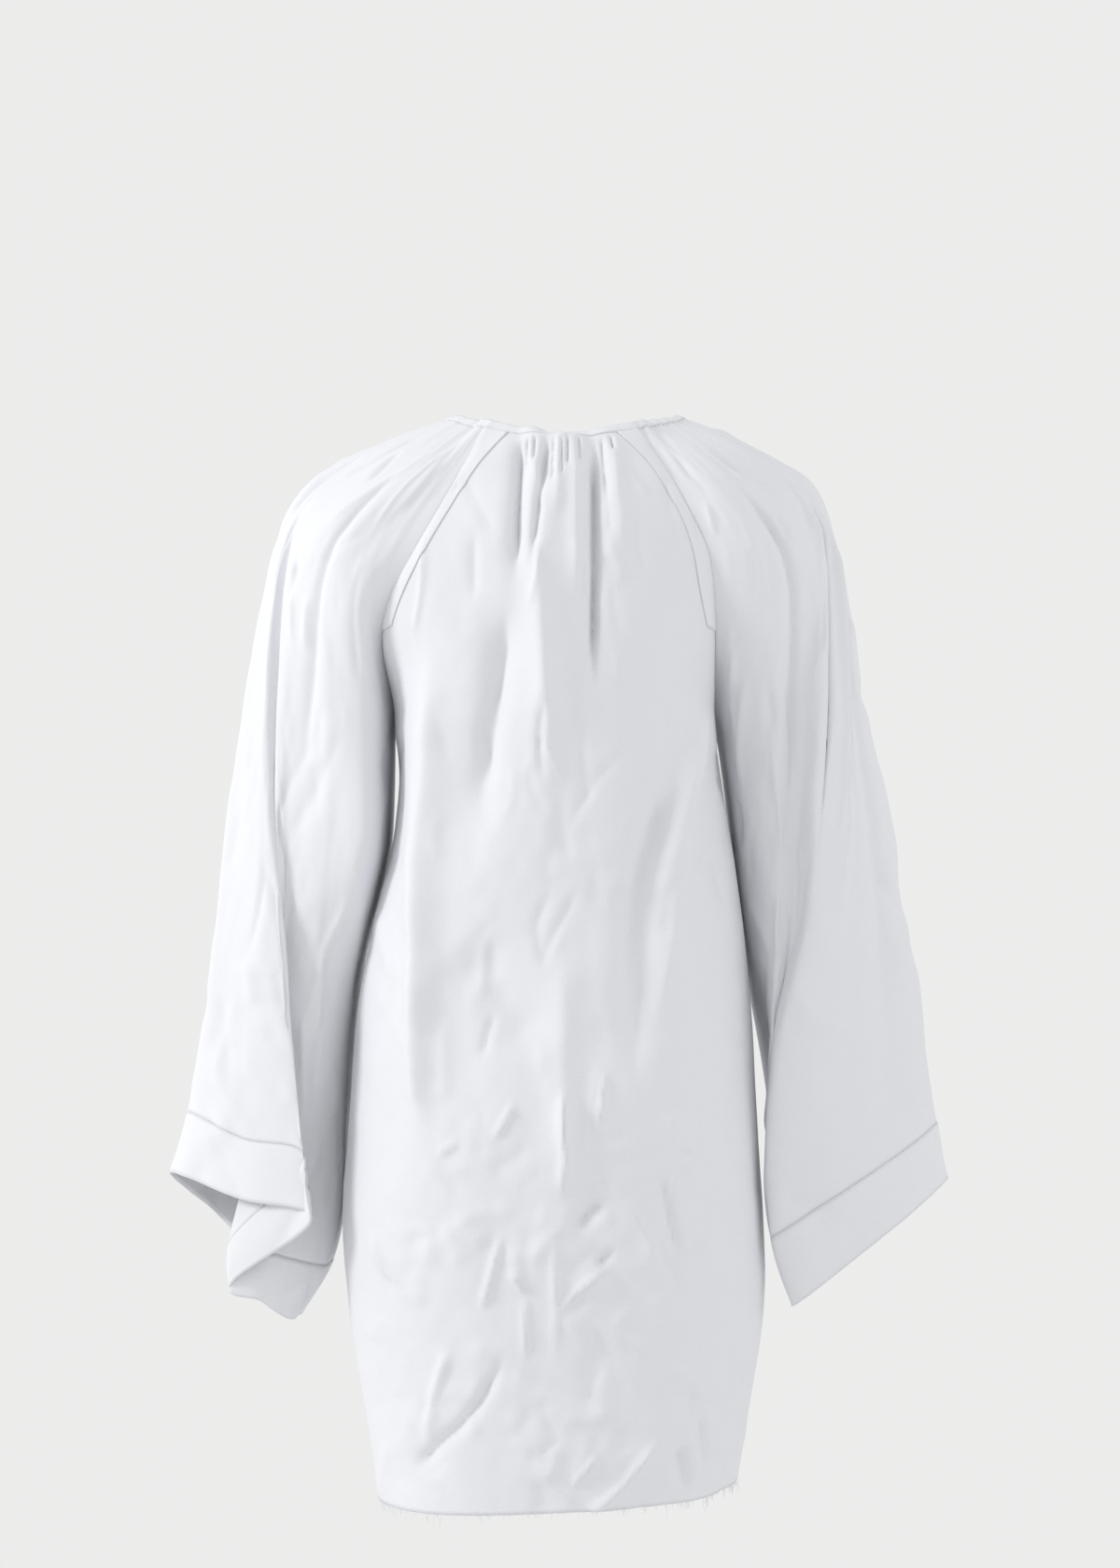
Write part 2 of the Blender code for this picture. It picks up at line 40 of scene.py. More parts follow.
log = logging.getLogger("tunic")
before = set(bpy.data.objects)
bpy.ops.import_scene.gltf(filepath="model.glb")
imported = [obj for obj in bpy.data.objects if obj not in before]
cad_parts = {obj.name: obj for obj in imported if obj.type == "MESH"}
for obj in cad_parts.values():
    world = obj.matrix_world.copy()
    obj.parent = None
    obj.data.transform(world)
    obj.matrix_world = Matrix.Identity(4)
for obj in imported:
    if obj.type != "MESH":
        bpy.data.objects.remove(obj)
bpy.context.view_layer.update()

BODY = "root"
UNDERARM_AT = 0.40
CUFF_AT = 0.935
BAND_WIDTH = 0.019
BAND_END = 0.80
YOKE_ROWS = 0.28
CLOTH_HALF = 0.0003
CUFF_HALF = 0.0008
BINDING_HALF = 0.0012
FOLD_SHARE = 0.7
SLEEVE_ROUND = 0.56
SLEEVE_LONG = 0.74
HEM_LEFT = -0.864
HEM_RIGHT = -0.850
BODY_CENTRE = np.array([0.008, 0.0, -0.45])


# ---------------------------------------------------------------- smooth curves


def smooth(knots: Sequence[float], values: Any, at: Any) -> Array:
    """Read a smooth curve through values at knots.

    Args:
        knots: Rising positions of the values.
        values: One number or one row of numbers at each knot.
        at: Positions to read the curve at.

    Returns:
        One row for each position.
    """
    knots = np.asarray(knots, float)
    values = np.asarray(values, float).reshape(len(knots), -1)
    slopes = np.gradient(values, knots, axis=0)
    at = np.atleast_1d(np.asarray(at, float))
    index = np.clip(np.searchsorted(knots, at, side="right") - 1, 0, len(knots) - 2)
    span = (knots[index + 1] - knots[index])[:, None]
    u = (at - knots[index])[:, None] / span
    before = values[index] * (1 + 2 * u) * (1 - u) ** 2 + slopes[index] * span * u * (1 - u) ** 2
    after = values[index + 1] * u**2 * (3 - 2 * u) + slopes[index + 1] * span * u**2 * (u - 1)
    return before + after


def ease(value: Any) -> Any:
    """Step smoothly from 0 at 0 to 1 at 1."""
    value = np.clip(value, 0.0, 1.0)
    return value * value * (3 - 2 * value)


def unit(vectors: Array) -> Array:
    """Scale vectors along the last axis to length 1."""
    return vectors / np.maximum(np.linalg.norm(vectors, axis=-1, keepdims=True), 1e-12)


def arc(points: Array) -> Array:
    """Give the distance along a polyline at each of its points."""
    steps = np.linalg.norm(np.diff(points, axis=0), axis=1)
    return np.concatenate([[0.0], np.cumsum(steps)])


# ---------------------------------------------------------------- the tunic's form


class BodySection(NamedTuple):
    """A level section of the body, from side seam to side seam."""

    z: float
    left: float
    right: float
    back: float
    front: float


class RaglanPoint(NamedTuple):
    """A point of a raglan seam, at a share of the way from neck to underarm."""

    share: float
    x: float
    y: float
    z: float


class SleeveSection(NamedTuple):
    """A slanting section of a sleeve, at a share of the way from neck to hem."""

    at: float
    outer: Point
    fold: Point
    tuck: Point
    inner: Point
    bulge: float
    front: float


class Fold(NamedTuple):
    """A broad soft fold, a straight line down the cloth. A trough has a negative height."""

    top: Flat
    bottom: Flat
    half_width: float
    height: float


class Side(Enum):
    """The two faces of the body."""

    BACK = 1.0
    FRONT = -1.0


BODY_SECTIONS = (
    BodySection(-0.010, 0.060, -0.059, 0.070, 0.085),
    BodySection(-0.060, 0.118, -0.108, 0.096, 0.095),
    BodySection(-0.130, 0.138, -0.118, 0.112, 0.112),
    BodySection(-0.235, 0.134, -0.120, 0.118, 0.124),
    BodySection(-0.300, 0.131, -0.129, 0.115, 0.124),
    BodySection(-0.350, 0.138, -0.137, 0.113, 0.123),
    BodySection(-0.400, 0.150, -0.144, 0.112, 0.122),
    BodySection(-0.470, 0.164, -0.151, 0.116, 0.120),
    BodySection(-0.570, 0.171, -0.156, 0.128, 0.120),
    BodySection(-0.640, 0.176, -0.161, 0.130, 0.120),
    BodySection(-0.715, 0.170, -0.161, 0.126, 0.118),
    BodySection(-0.790, 0.158, -0.150, 0.122, 0.116),
    BodySection(-0.870, 0.146, -0.137, 0.120, 0.114),
)
RAGLANS = {
    (Side.BACK, 1): (
        RaglanPoint(0.00, 0.0600, 0.056, -0.010),
        RaglanPoint(0.28, 0.0900, 0.079, -0.065),
        RaglanPoint(0.50, 0.1170, 0.084, -0.113),
        RaglanPoint(0.66, 0.1350, 0.074, -0.147),
        RaglanPoint(0.80, 0.1420, 0.056, -0.178),
        RaglanPoint(1.00, 0.1340, 0.000, -0.235),
    ),
    (Side.FRONT, 1): (
        RaglanPoint(0.00, 0.0760, -0.060, -0.022),
        RaglanPoint(0.28, 0.0950, -0.076, -0.072),
        RaglanPoint(0.50, 0.1140, -0.082, -0.118),
        RaglanPoint(0.66, 0.1300, -0.072, -0.152),
        RaglanPoint(0.80, 0.1400, -0.052, -0.184),
        RaglanPoint(1.00, 0.1340, 0.000, -0.235),
    ),
    (Side.BACK, -1): (
        RaglanPoint(0.00, -0.0590, 0.056, -0.0115),
        RaglanPoint(0.28, -0.0930, 0.080, -0.067),
        RaglanPoint(0.50, -0.1140, 0.080, -0.113),
        RaglanPoint(0.66, -0.1185, 0.068, -0.146),
        RaglanPoint(0.80, -0.1205, 0.050, -0.178),
        RaglanPoint(1.00, -0.1200, 0.000, -0.235),
    ),
    (Side.FRONT, -1): (
        RaglanPoint(0.00, -0.0760, -0.060, -0.022),
        RaglanPoint(0.28, -0.0940, -0.076, -0.072),
        RaglanPoint(0.50, -0.1080, -0.080, -0.118),
        RaglanPoint(0.66, -0.1150, -0.070, -0.152),
        RaglanPoint(0.80, -0.1180, -0.050, -0.184),
        RaglanPoint(1.00, -0.1200, 0.000, -0.235),
    ),
}
ROUND_ARCH = (2.4, 2.2)
SHALLOW_ARCH = 2.2
NECK_CENTRE = {Side.BACK: (0.002, 0.070, -0.0175), Side.FRONT: (0.000, -0.090, -0.060)}
BACK_FOLDS = (
    Fold((-0.0225, -0.010), (-0.0225, -0.225), 0.008, -0.008),
    Fold((0.0330, -0.010), (0.0360, -0.140), 0.008, -0.006),
    Fold((0.0110, -0.010), (0.0230, -0.120), 0.006, -0.004),
    Fold((0.0000, -0.010), (0.0060, -0.090), 0.006, 0.003),
    Fold((-0.0110, -0.010), (-0.0110, -0.160), 0.007, 0.004),
    Fold((0.0220, -0.010), (0.0120, -0.330), 0.012, 0.005),
    Fold((-0.0380, -0.010), (-0.0480, -0.120), 0.008, 0.003),
    Fold((0.0430, -0.150), (0.0720, -0.360), 0.020, -0.006),
    Fold((-0.1090, -0.210), (-0.0700, -0.520), 0.014, 0.008),
    Fold((-0.0880, -0.270), (-0.0500, -0.530), 0.014, -0.008),
    Fold((0.1060, -0.180), (0.1150, -0.560), 0.016, 0.008),
    Fold((0.0000, -0.420), (0.0000, -0.640), 0.014, 0.006),
)
FRONT_FOLDS = (
    Fold((0.0200, -0.060), (0.0300, -0.300), 0.014, -0.006),
    Fold((-0.0250, -0.060), (-0.0450, -0.330), 0.014, -0.006),
    Fold((0.0900, -0.300), (0.1000, -0.700), 0.020, 0.008),
    Fold((-0.0800, -0.350), (-0.0600, -0.720), 0.020, 0.008),
)
LEFT_SLEEVE = (
    SleeveSection(
        0.00, (0.094, 0.000, -0.001), (0.088, 0.025, -0.003),
        (0.082, 0.034, -0.005), (0.066, 0.050, -0.009), 0.000, 0.020,
    ),
    SleeveSection(
        0.09, (0.151, 0.000, -0.021), (0.143, 0.040, -0.028),
        (0.134, 0.054, -0.034), (0.100, 0.076, -0.050), 0.004, 0.040,
    ),
    SleeveSection(
        0.18, (0.203, 0.000, -0.052), (0.194, 0.043, -0.066),
        (0.186, 0.062, -0.078), (0.134, 0.084, -0.096), 0.006, 0.055,
    ),
    SleeveSection(
        0.28, (0.229, 0.000, -0.104), (0.219, 0.037, -0.110),
        (0.209, 0.054, -0.122), (0.156, 0.086, -0.148), 0.008, 0.060,
    ),
    SleeveSection(
        0.40, (0.246, 0.000, -0.215), (0.230, 0.038, -0.215),
        (0.217, 0.046, -0.223), (0.147, 0.060, -0.238), 0.012, 0.062,
    ),
    SleeveSection(
        0.52, (0.261, 0.000, -0.310), (0.228, 0.044, -0.318),
        (0.220, 0.040, -0.326), (0.146, 0.050, -0.335), 0.012, 0.064,
    ),
    SleeveSection(
        0.66, (0.275, 0.000, -0.412), (0.217, 0.052, -0.424),
        (0.224, 0.036, -0.440), (0.170, 0.012, -0.445), 0.013, 0.066,
    ),
    SleeveSection(
        0.80, (0.289, 0.002, -0.482), (0.211, 0.060, -0.508),
        (0.238, 0.034, -0.540), (0.180, 0.000, -0.560), 0.014, 0.066,
    ),
    SleeveSection(
        0.935, (0.302, 0.004, -0.557), (0.204, 0.066, -0.592),
        (0.264, 0.034, -0.656), (0.195, 0.000, -0.680), 0.012, 0.056,
    ),
    SleeveSection(
        1.00, (0.316, 0.006, -0.604), (0.197, 0.068, -0.638),
        (0.261, 0.036, -0.687), (0.220, 0.000, -0.722), 0.010, 0.048,
    ),
)
RIGHT_SLEEVE = (
    SleeveSection(
        0.00, (-0.097, 0.000, -0.001), (-0.090, 0.026, -0.003),
        (-0.083, 0.035, -0.005), (-0.066, 0.050, -0.009), 0.000, 0.020,
    ),
    SleeveSection(
        0.09, (-0.149, 0.000, -0.021), (-0.139, 0.040, -0.028),
        (-0.129, 0.054, -0.034), (-0.100, 0.076, -0.050), 0.004, 0.040,
    ),
    SleeveSection(
        0.18, (-0.200, 0.000, -0.053), (-0.189, 0.043, -0.066),
        (-0.179, 0.060, -0.078), (-0.130, 0.084, -0.096), 0.006, 0.055,
    ),
    SleeveSection(
        0.28, (-0.220, 0.000, -0.108), (-0.208, 0.046, -0.114),
        (-0.196, 0.056, -0.124), (-0.138, 0.074, -0.148), 0.008, 0.060,
    ),
    SleeveSection(
        0.40, (-0.238, 0.000, -0.215), (-0.208, 0.056, -0.215),
        (-0.194, 0.044, -0.223), (-0.136, 0.030, -0.238), 0.012, 0.062,
    ),
    SleeveSection(
        0.52, (-0.255, 0.000, -0.296), (-0.203, 0.058, -0.306),
        (-0.190, 0.040, -0.316), (-0.143, 0.008, -0.326), 0.014, 0.064,
    ),
    SleeveSection(
        0.66, (-0.272, 0.000, -0.378), (-0.193, 0.058, -0.400),
        (-0.184, 0.036, -0.412), (-0.154, 0.000, -0.425), 0.016, 0.066,
    ),
    SleeveSection(
        0.80, (-0.289, 0.000, -0.480), (-0.170, 0.056, -0.515),
        (-0.166, 0.030, -0.510), (-0.168, 0.000, -0.505), 0.020, 0.060,
    ),
    SleeveSection(
        0.935, (-0.301, 0.002, -0.566), (-0.168, 0.046, -0.652),
        (-0.168, 0.020, -0.655), (-0.192, -0.016, -0.640), 0.022, 0.050,
    ),
    SleeveSection(
        1.00, (-0.309, 0.004, -0.609), (-0.186, 0.040, -0.705),
        (-0.186, 0.016, -0.706), (-0.210, -0.014, -0.692), 0.020, 0.044,
    ),
)

# ---------------------------------------------------------------- creases


class Crease(NamedTuple):
    """A listed crease: a smooth line over the cloth. A trough has a negative height."""

    line: tuple[Flat, ...]
    half_width: float
    height: float


class Wrinkles(NamedTuple):
    """A patch of small similar creases scattered over the cloth."""

    low: Flat
    high: Flat
    count: int
    length: float
    angle: float
    spread: float
    half_width: float
    height: float
    seed: int


class Crumple(NamedTuple):
    """Soft uneven swells of about the given size."""

    cell: Flat
    height: float
    seed: int


BACK_CREASES = (
    Crease(((-0.0205, -0.020), (-0.0200, -0.120), (-0.0190, -0.220)), 0.0035, 0.0030),
    Crease(((-0.0262, -0.020), (-0.0262, -0.120), (-0.0250, -0.225)), 0.0030, -0.0060),
    Crease(((0.0330, -0.020), (0.0350, -0.070), (0.0360, -0.125)), 0.0030, -0.0040),
    Crease(((0.0108, -0.020), (0.0152, -0.047), (0.0202, -0.090), (0.0238, -0.127)), 0.0030, -0.0035),
    Crease(((0.0270, -0.018), (0.0290, -0.050)), 0.0016, -0.0020),
    Crease(((0.0217, -0.018), (0.0225, -0.040)), 0.0015, -0.0020),
    Crease(((0.0065, -0.018), (0.0080, -0.060)), 0.0015, -0.0020),
    Crease(((0.0007, -0.018), (0.0010, -0.055)), 0.0015, -0.0022),
    Crease(((-0.0036, -0.018), (-0.0040, -0.045)), 0.0014, -0.0020),
    Crease(((-0.0123, -0.018), (-0.0130, -0.042)), 0.0015, -0.0020),
    Crease(((-0.0310, -0.018), (-0.0350, -0.070)), 0.0018, -0.0022),
    Crease(((-0.0375, -0.018), (-0.0400, -0.032)), 0.0015, -0.0018),
    Crease(((0.0200, -0.119), (0.0150, -0.190), (0.0094, -0.264)), 0.0120, 0.0030),
    Crease(((0.0420, -0.155), (0.0490, -0.206), (0.0600, -0.264), (0.0710, -0.321)), 0.0090, -0.0035),
    Crease(((-0.0874, -0.291), (-0.0708, -0.337), (-0.0585, -0.378), (-0.0462, -0.492)), 0.0070, -0.0050),
    Crease(((-0.1083, -0.218), (-0.0982, -0.275), (-0.0773, -0.368), (-0.0628, -0.482)), 0.0090, 0.0050),
    Crease(
        ((0.1032, -0.1915), (0.0989, -0.264), (0.1076, -0.378), (0.1119, -0.5215), (0.1047, -0.561)),
        0.009,
        0.005,
    ),
    Crease(((-0.0014, -0.5265), (0.0000, -0.556), (-0.0022, -0.5815), (0.0014, -0.616)), 0.0040, 0.0040),
    Crease(((-0.0101, -0.635), (-0.0217, -0.623), (-0.0354, -0.614)), 0.0050, -0.0045),
    Crease(((0.0794, -0.569), (0.0982, -0.5814)), 0.0028, 0.0022),
    Crease(((0.0368, -0.540), (0.0542, -0.569)), 0.0028, 0.0022),
    Crease(((-0.0332, -0.515), (-0.0253, -0.5655)), 0.0028, 0.0022),
    Crease(((0.1509, -0.641), (0.1393, -0.672), (0.1206, -0.684)), 0.0035, 0.0028),
    Crease(((0.0469, -0.639), (0.0563, -0.676), (0.0635, -0.701)), 0.0030, 0.0026),
    Crease(((0.0404, -0.669), (0.0267, -0.685)), 0.0030, 0.0024),
    Crease(((-0.0383, -0.6666), (-0.0130, -0.683), (0.0058, -0.7034)), 0.0030, 0.0026),
    Crease(((-0.0267, -0.664), (-0.0404, -0.651)), 0.0030, -0.0024),
    Crease(((-0.0773, -0.595), (-0.0910, -0.6644)), 0.0045, -0.0034),
    Crease(((0.0289, -0.6875), (0.0289, -0.740)), 0.0030, 0.0018),
    Crease(((0.0058, -0.641), (0.0058, -0.740)), 0.0035, 0.0018),
    Crease(((0.0874, -0.730), (0.0982, -0.763), (0.1069, -0.803)), 0.0040, 0.0030),
    Crease(((0.0426, -0.730), (0.0693, -0.7785), (0.1025, -0.812), (0.1177, -0.830)), 0.0045, -0.0034),
    Crease(((-0.0830, -0.792), (-0.0563, -0.825), (-0.0325, -0.849), (-0.0166, -0.860)), 0.0040, 0.0032),
    Crease(((-0.0282, -0.812), (-0.0058, -0.838)), 0.0030, 0.0026),
    Crease(((-0.0902, -0.807), (-0.0989, -0.847)), 0.0050, -0.0040),
    Crease(((-0.1076, -0.785), (-0.1119, -0.830)), 0.0040, -0.0030),
    Crease(((0.0815, -0.415), (0.0450, -0.460), (0.0094, -0.502)), 0.0250, -0.0050),
)
FRONT_CREASES = (
    Crease(((0.0180, -0.066), (0.0220, -0.190), (0.0300, -0.320)), 0.0060, -0.0050),
    Crease(((-0.0240, -0.066), (-0.0330, -0.170), (-0.0420, -0.290)), 0.0050, -0.0045),
    Crease(((0.0040, -0.064), (0.0050, -0.130)), 0.0035, -0.0028),
    Crease(((0.0900, -0.240), (0.0820, -0.390), (0.0930, -0.540)), 0.0100, 0.0050),
    Crease(((-0.0930, -0.260), (-0.0780, -0.370), (-0.0640, -0.500)), 0.0090, -0.0048),
    Crease(((0.0100, -0.520), (0.0050, -0.640)), 0.0055, 0.0036),
    Crease(((-0.0600, -0.640), (-0.0850, -0.760)), 0.0060, -0.0036),
    Crease(((0.0700, -0.680), (0.1000, -0.790)), 0.0060, 0.0034),
)
BACK_WRINKLES = (
    Wrinkles((-0.10, -0.30), (0.12, -0.04), 34, 0.060, 8.0, 14.0, 0.0038, 0.0011, 3),
    Wrinkles((-0.14, -0.56), (0.15, -0.28), 42, 0.065, 3.0, 18.0, 0.0055, 0.0013, 5),
    Wrinkles((-0.15, -0.86), (0.16, -0.56), 110, 0.050, 12.0, 60.0, 0.0062, 0.0010, 8),
)
FRONT_WRINKLES = (
    Wrinkles((-0.11, -0.34), (0.11, -0.10), 34, 0.060, -5.0, 16.0, 0.0045, 0.0012, 13),
    Wrinkles((-0.15, -0.86), (0.15, -0.34), 120, 0.052, 8.0, 50.0, 0.0064, 0.0010, 17),
)
LEFT_CREASES = (
    Crease(((0.245, 0.20), (0.230, 0.42), (0.225, 0.66), (0.235, 0.90)), 0.012, -0.0035),
    Crease(((0.340, 0.30), (0.350, 0.55), (0.335, 0.85)), 0.010, 0.0035),
    Crease(((0.130, 0.10), (0.140, 0.30), (0.160, 0.48)), 0.008, -0.0035),
    Crease(((0.280, 0.10), (0.300, 0.24)), 0.007, -0.0026),
)
RIGHT_CREASES = (
    Crease(((0.240, 0.16), (0.250, 0.34), (0.230, 0.60)), 0.008, -0.0045),
    Crease(((0.275, 0.18), (0.285, 0.40), (0.270, 0.70)), 0.008, 0.0045),
    Crease(((0.310, 0.22), (0.320, 0.50), (0.315, 0.92)), 0.009, -0.0040),
    Crease(((0.130, 0.12), (0.150, 0.30), (0.165, 0.50)), 0.008, -0.0040),
    Crease(((0.360, 0.30), (0.370, 0.70)), 0.010, 0.0032),
)
SLEEVE_WRINKLES = (
    Wrinkles((0.02, 0.05), (0.55, 0.50), 60, 0.090, 6.0, 24.0, 0.0070, 0.0014, 23),
    Wrinkles((0.02, 0.45), (0.55, 0.92), 60, 0.090, -4.0, 30.0, 0.0075, 0.0014, 29),
)


BACK_CRUMPLES = (Crumple((0.030, 0.060), 0.0010, 41), Crumple((0.011, 0.017), 0.00030, 47))
FRONT_CRUMPLES = (Crumple((0.030, 0.060), 0.0010, 43), Crumple((0.011, 0.017), 0.00030, 53))
SLEEVE_CRUMPLES = (Crumple((0.040, 0.080), 0.0012, 61), Crumple((0.012, 0.020), 0.00030, 67))


class Relief:
    """Adds up how far creases and wrinkles lift a sheet whose points have flat coordinates.

    Attributes:
        SAMPLES: Points along a crease's line.
        REACH: Half-widths out to which a crease is worked out.
        GAIN: How much every crease is strengthened.
        SHARPNESS: Power of the fall from a crease's line.
        FADE_IN: Speed and start of a crease's growth at its first end.
        FADE_OUT: Speed and start of its growth at its last end.
        LENGTHS: Least and greatest share of a wrinkle's length.
        BEND: Spread of a wrinkle's bend, as a share of its half length.
        HEIGHTS: Least and greatest share of its height.
        WIDTHS: Least and greatest share of its width.
    """

    SAMPLES = 20
    REACH = 3.2
    GAIN = 1.6
    SHARPNESS = 1.6
    FADE_IN = (4.0, 0.1)
    FADE_OUT = (3.0, 0.05)
    LENGTHS = (0.35, 1.3)
    BEND = 0.12
    HEIGHTS = (0.35, 1.4)
    WIDTHS = (0.6, 1.5)

    def __init__(self, across: Array, down: Array) -> None:
        """Start from a level sheet.

        Args:
            across: First coordinate of each point.
            down: Second coordinate of each point.
        """
        self.across = across
        self.down = down
        self.lift = np.zeros_like(across)

    def crease(self, crease: Crease) -> None:
        """Add one crease, tapering at its ends.

        Args:
            crease: Its line, half width and height.
        """
        knots = np.linspace(0.0, 1.0, len(crease.line))
        share = np.linspace(0.0, 1.0, self.SAMPLES)
        line = smooth(knots, crease.line, share)
        reach = crease.half_width * self.REACH
        low, high = line.min(axis=0) - reach, line.max(axis=0) + reach
        near = (self.across > low[0]) & (self.across < high[0])
        near &= (self.down > low[1]) & (self.down < high[1])
        if not near.any():
            return
        points = np.stack([self.across[near], self.down[near]], axis=1)
        start, step = line[:-1], np.diff(line, axis=0)
        long = np.sum(step**2, axis=1)
        u = np.sum((points[:, None] - start) * step, axis=2) / long
        u = np.clip(u, 0.0, 1.0)
        gaps = np.linalg.norm(points[:, None] - start - u[..., None] * step, axis=2)
        best = gaps.argmin(axis=1)
        rows = np.arange(len(points))
        at = (best + u[rows, best]) / (self.SAMPLES - 1)
        fade = ease(at * self.FADE_IN[0] + self.FADE_IN[1])
        fade = fade * ease((1.0 - at) * self.FADE_OUT[0] + self.FADE_OUT[1])
        offset = gaps[rows, best] / crease.half_width
        self.lift[near] += self.GAIN * crease.height * fade * np.exp(-(offset**self.SHARPNESS))

    def scatter(self, patch: Wrinkles) -> None:
        """Add a patch of small creases.

        Args:
            patch: Where they lie and what they are like.
        """
        random = np.random.default_rng(patch.seed)
        for _ in range(patch.count):
            middle = random.uniform(patch.low, patch.high)
            angle = math.radians(random.normal(patch.angle, patch.spread))
            half = patch.length * random.uniform(*self.LENGTHS) / 2
            bend = random.normal(0.0, self.BEND) * half
            along = np.array([math.sin(angle), math.cos(angle)])
            aside = np.array([along[1], -along[0]])
            line = (middle - along * half, middle + aside * bend, middle + along * half)
            height = patch.height * random.uniform(*self.HEIGHTS) * random.choice([-1.0, 1.0])
            width = patch.half_width * random.uniform(*self.WIDTHS)
            self.crease(Crease(tuple(tuple(point) for point in line), width, height))

    def crumple(self, crumple: Crumple) -> None:
        """Add soft uneven swells.

        Args:
            crumple: Their size, height and seed.
        """
        random = np.random.default_rng(crumple.seed)
        a = (self.across - self.across.min()) / crumple.cell[0]
        b = (self.down - self.down.min()) / crumple.cell[1]
        lattice = random.normal(0.0, 1.0, (int(a.max()) + 3, int(b.max()) + 3))
        i, j = a.astype(int), b.astype(int)
        u, v = ease(a - i), ease(b - j)
        top = lattice[i, j] * (1 - u) + lattice[i + 1, j] * u
        low = lattice[i, j + 1] * (1 - u) + lattice[i + 1, j + 1] * u
        self.lift += crumple.height * (top * (1 - v) + low * v)


# ---------------------------------------------------------------- forms


def raglan(side: Side, hand: int, at: Any) -> Array:
    """Give points of a raglan seam.

    Args:
        side: The face that it edges.
        hand: 1 for the left seam, -1 for the right.
        at: Shares of the way from the neck to the underarm.

    Returns:
        One point for each share.
    """
    rows = np.array(RAGLANS[side, hand])
    return smooth(rows[:, 0], rows[:, 1:], at)


class Shell:
    """Turns a grid of points into a closed thin mesh that carries its cloth coordinates."""

    def __init__(self, name: str, grid: Array, normals: Array, half: float, wraps: bool = False) -> None:
        """Take a sheet's middle surface.

        Args:
            name: Name of the piece.
            grid: Rows and columns of points.
            normals: Unit normal of each point.
            half: Half the wall's thickness.
            wraps: Whether the last column joins the first.
        """
        self.name, self.grid, self.normals, self.half, self.wraps = name, grid, normals, half, wraps

    def build(self) -> bpy.types.Object:
        """Build the mesh and link its object."""
        rows, columns = self.grid.shape[:2]
        both = [self.grid + self.normals * self.half, self.grid - self.normals * self.half]
        points = np.concatenate([side.reshape(-1, 3) for side in both])
        index = np.arange(rows * columns).reshape(rows, columns)
        if self.wraps:
            index = np.concatenate([index, index[:, :1]], axis=1)
        under = index + rows * columns
        a, b, c, d = index[:-1, :-1], index[:-1, 1:], index[1:, 1:], index[1:, :-1]
        outer = np.stack([a, b, c, d], axis=-1).reshape(-1, 4)
        faces = [outer, outer[:, ::-1] + rows * columns]
        rims = [(index[0], under[0]), (under[-1], index[-1])]
        if not self.wraps:
            rims += [(under[:, 0], index[:, 0]), (index[:, -1], under[:, -1])]
        faces += [np.stack([o[:-1], i[:-1], i[1:], o[1:]], axis=-1) for o, i in rims]
        mesh = bpy.data.meshes.new(self.name)
        mesh.from_pydata(points.tolist(), [], np.concatenate(faces).tolist())
        mesh.update()
        self._coordinates(mesh)
        mesh.shade_smooth()
        piece = bpy.data.objects.new(self.name, mesh)
        bpy.context.scene.collection.objects.link(piece)
        return piece

    def _coordinates(self, mesh: bpy.types.Mesh) -> None:
        """Store how far each point lies across and down the cloth, in metres."""
        across = np.linalg.norm(np.diff(self.grid, axis=1), axis=2)
        across = np.pad(np.cumsum(across, axis=1), ((0, 0), (1, 0)))
        down = np.linalg.norm(np.diff(self.grid, axis=0), axis=2)
        down = np.pad(np.cumsum(down, axis=0), ((1, 0), (0, 0)))
        flat = np.stack([across, down, np.zeros_like(down)], axis=-1).reshape(-1, 3)
        cloth = mesh.attributes.new("cloth", "FLOAT_VECTOR", "POINT")
        cloth.data.foreach_set("vector", np.concatenate([flat, flat]).ravel())


def normals_of(grid: Array, centre: Array) -> Array:
    """Give the unit normals of a grid.

    Args:
        grid: Rows and columns of points.
        centre: A point, or one for each row, that the normals point away from.

    Returns:
        One normal for each point.
    """
    normals = unit(np.cross(np.gradient(grid, axis=1), np.gradient(grid, axis=0)))
    return -normals if np.sum(normals * (grid - centre)) < 0 else normals


@dataclass
class Cut:
    """A sheet's flat size, worked out from its form before it is creased."""

    grid: Array

    def size(self) -> Flat:
        """Give the widest row's and the longest column's lengths."""
        across = np.linalg.norm(np.diff(self.grid, axis=1), axis=2).sum(axis=1).max()
        down = np.linalg.norm(np.diff(self.grid, axis=0), axis=2).sum(axis=0).max()
        return float(across), float(down)

    def area(self) -> float:
        """Give the area of the sheet."""
        across = np.diff(self.grid, axis=1)[:-1]
        down = np.diff(self.grid, axis=0)[:, :-1]
        return float(np.linalg.norm(np.cross(across, down), axis=2).sum())


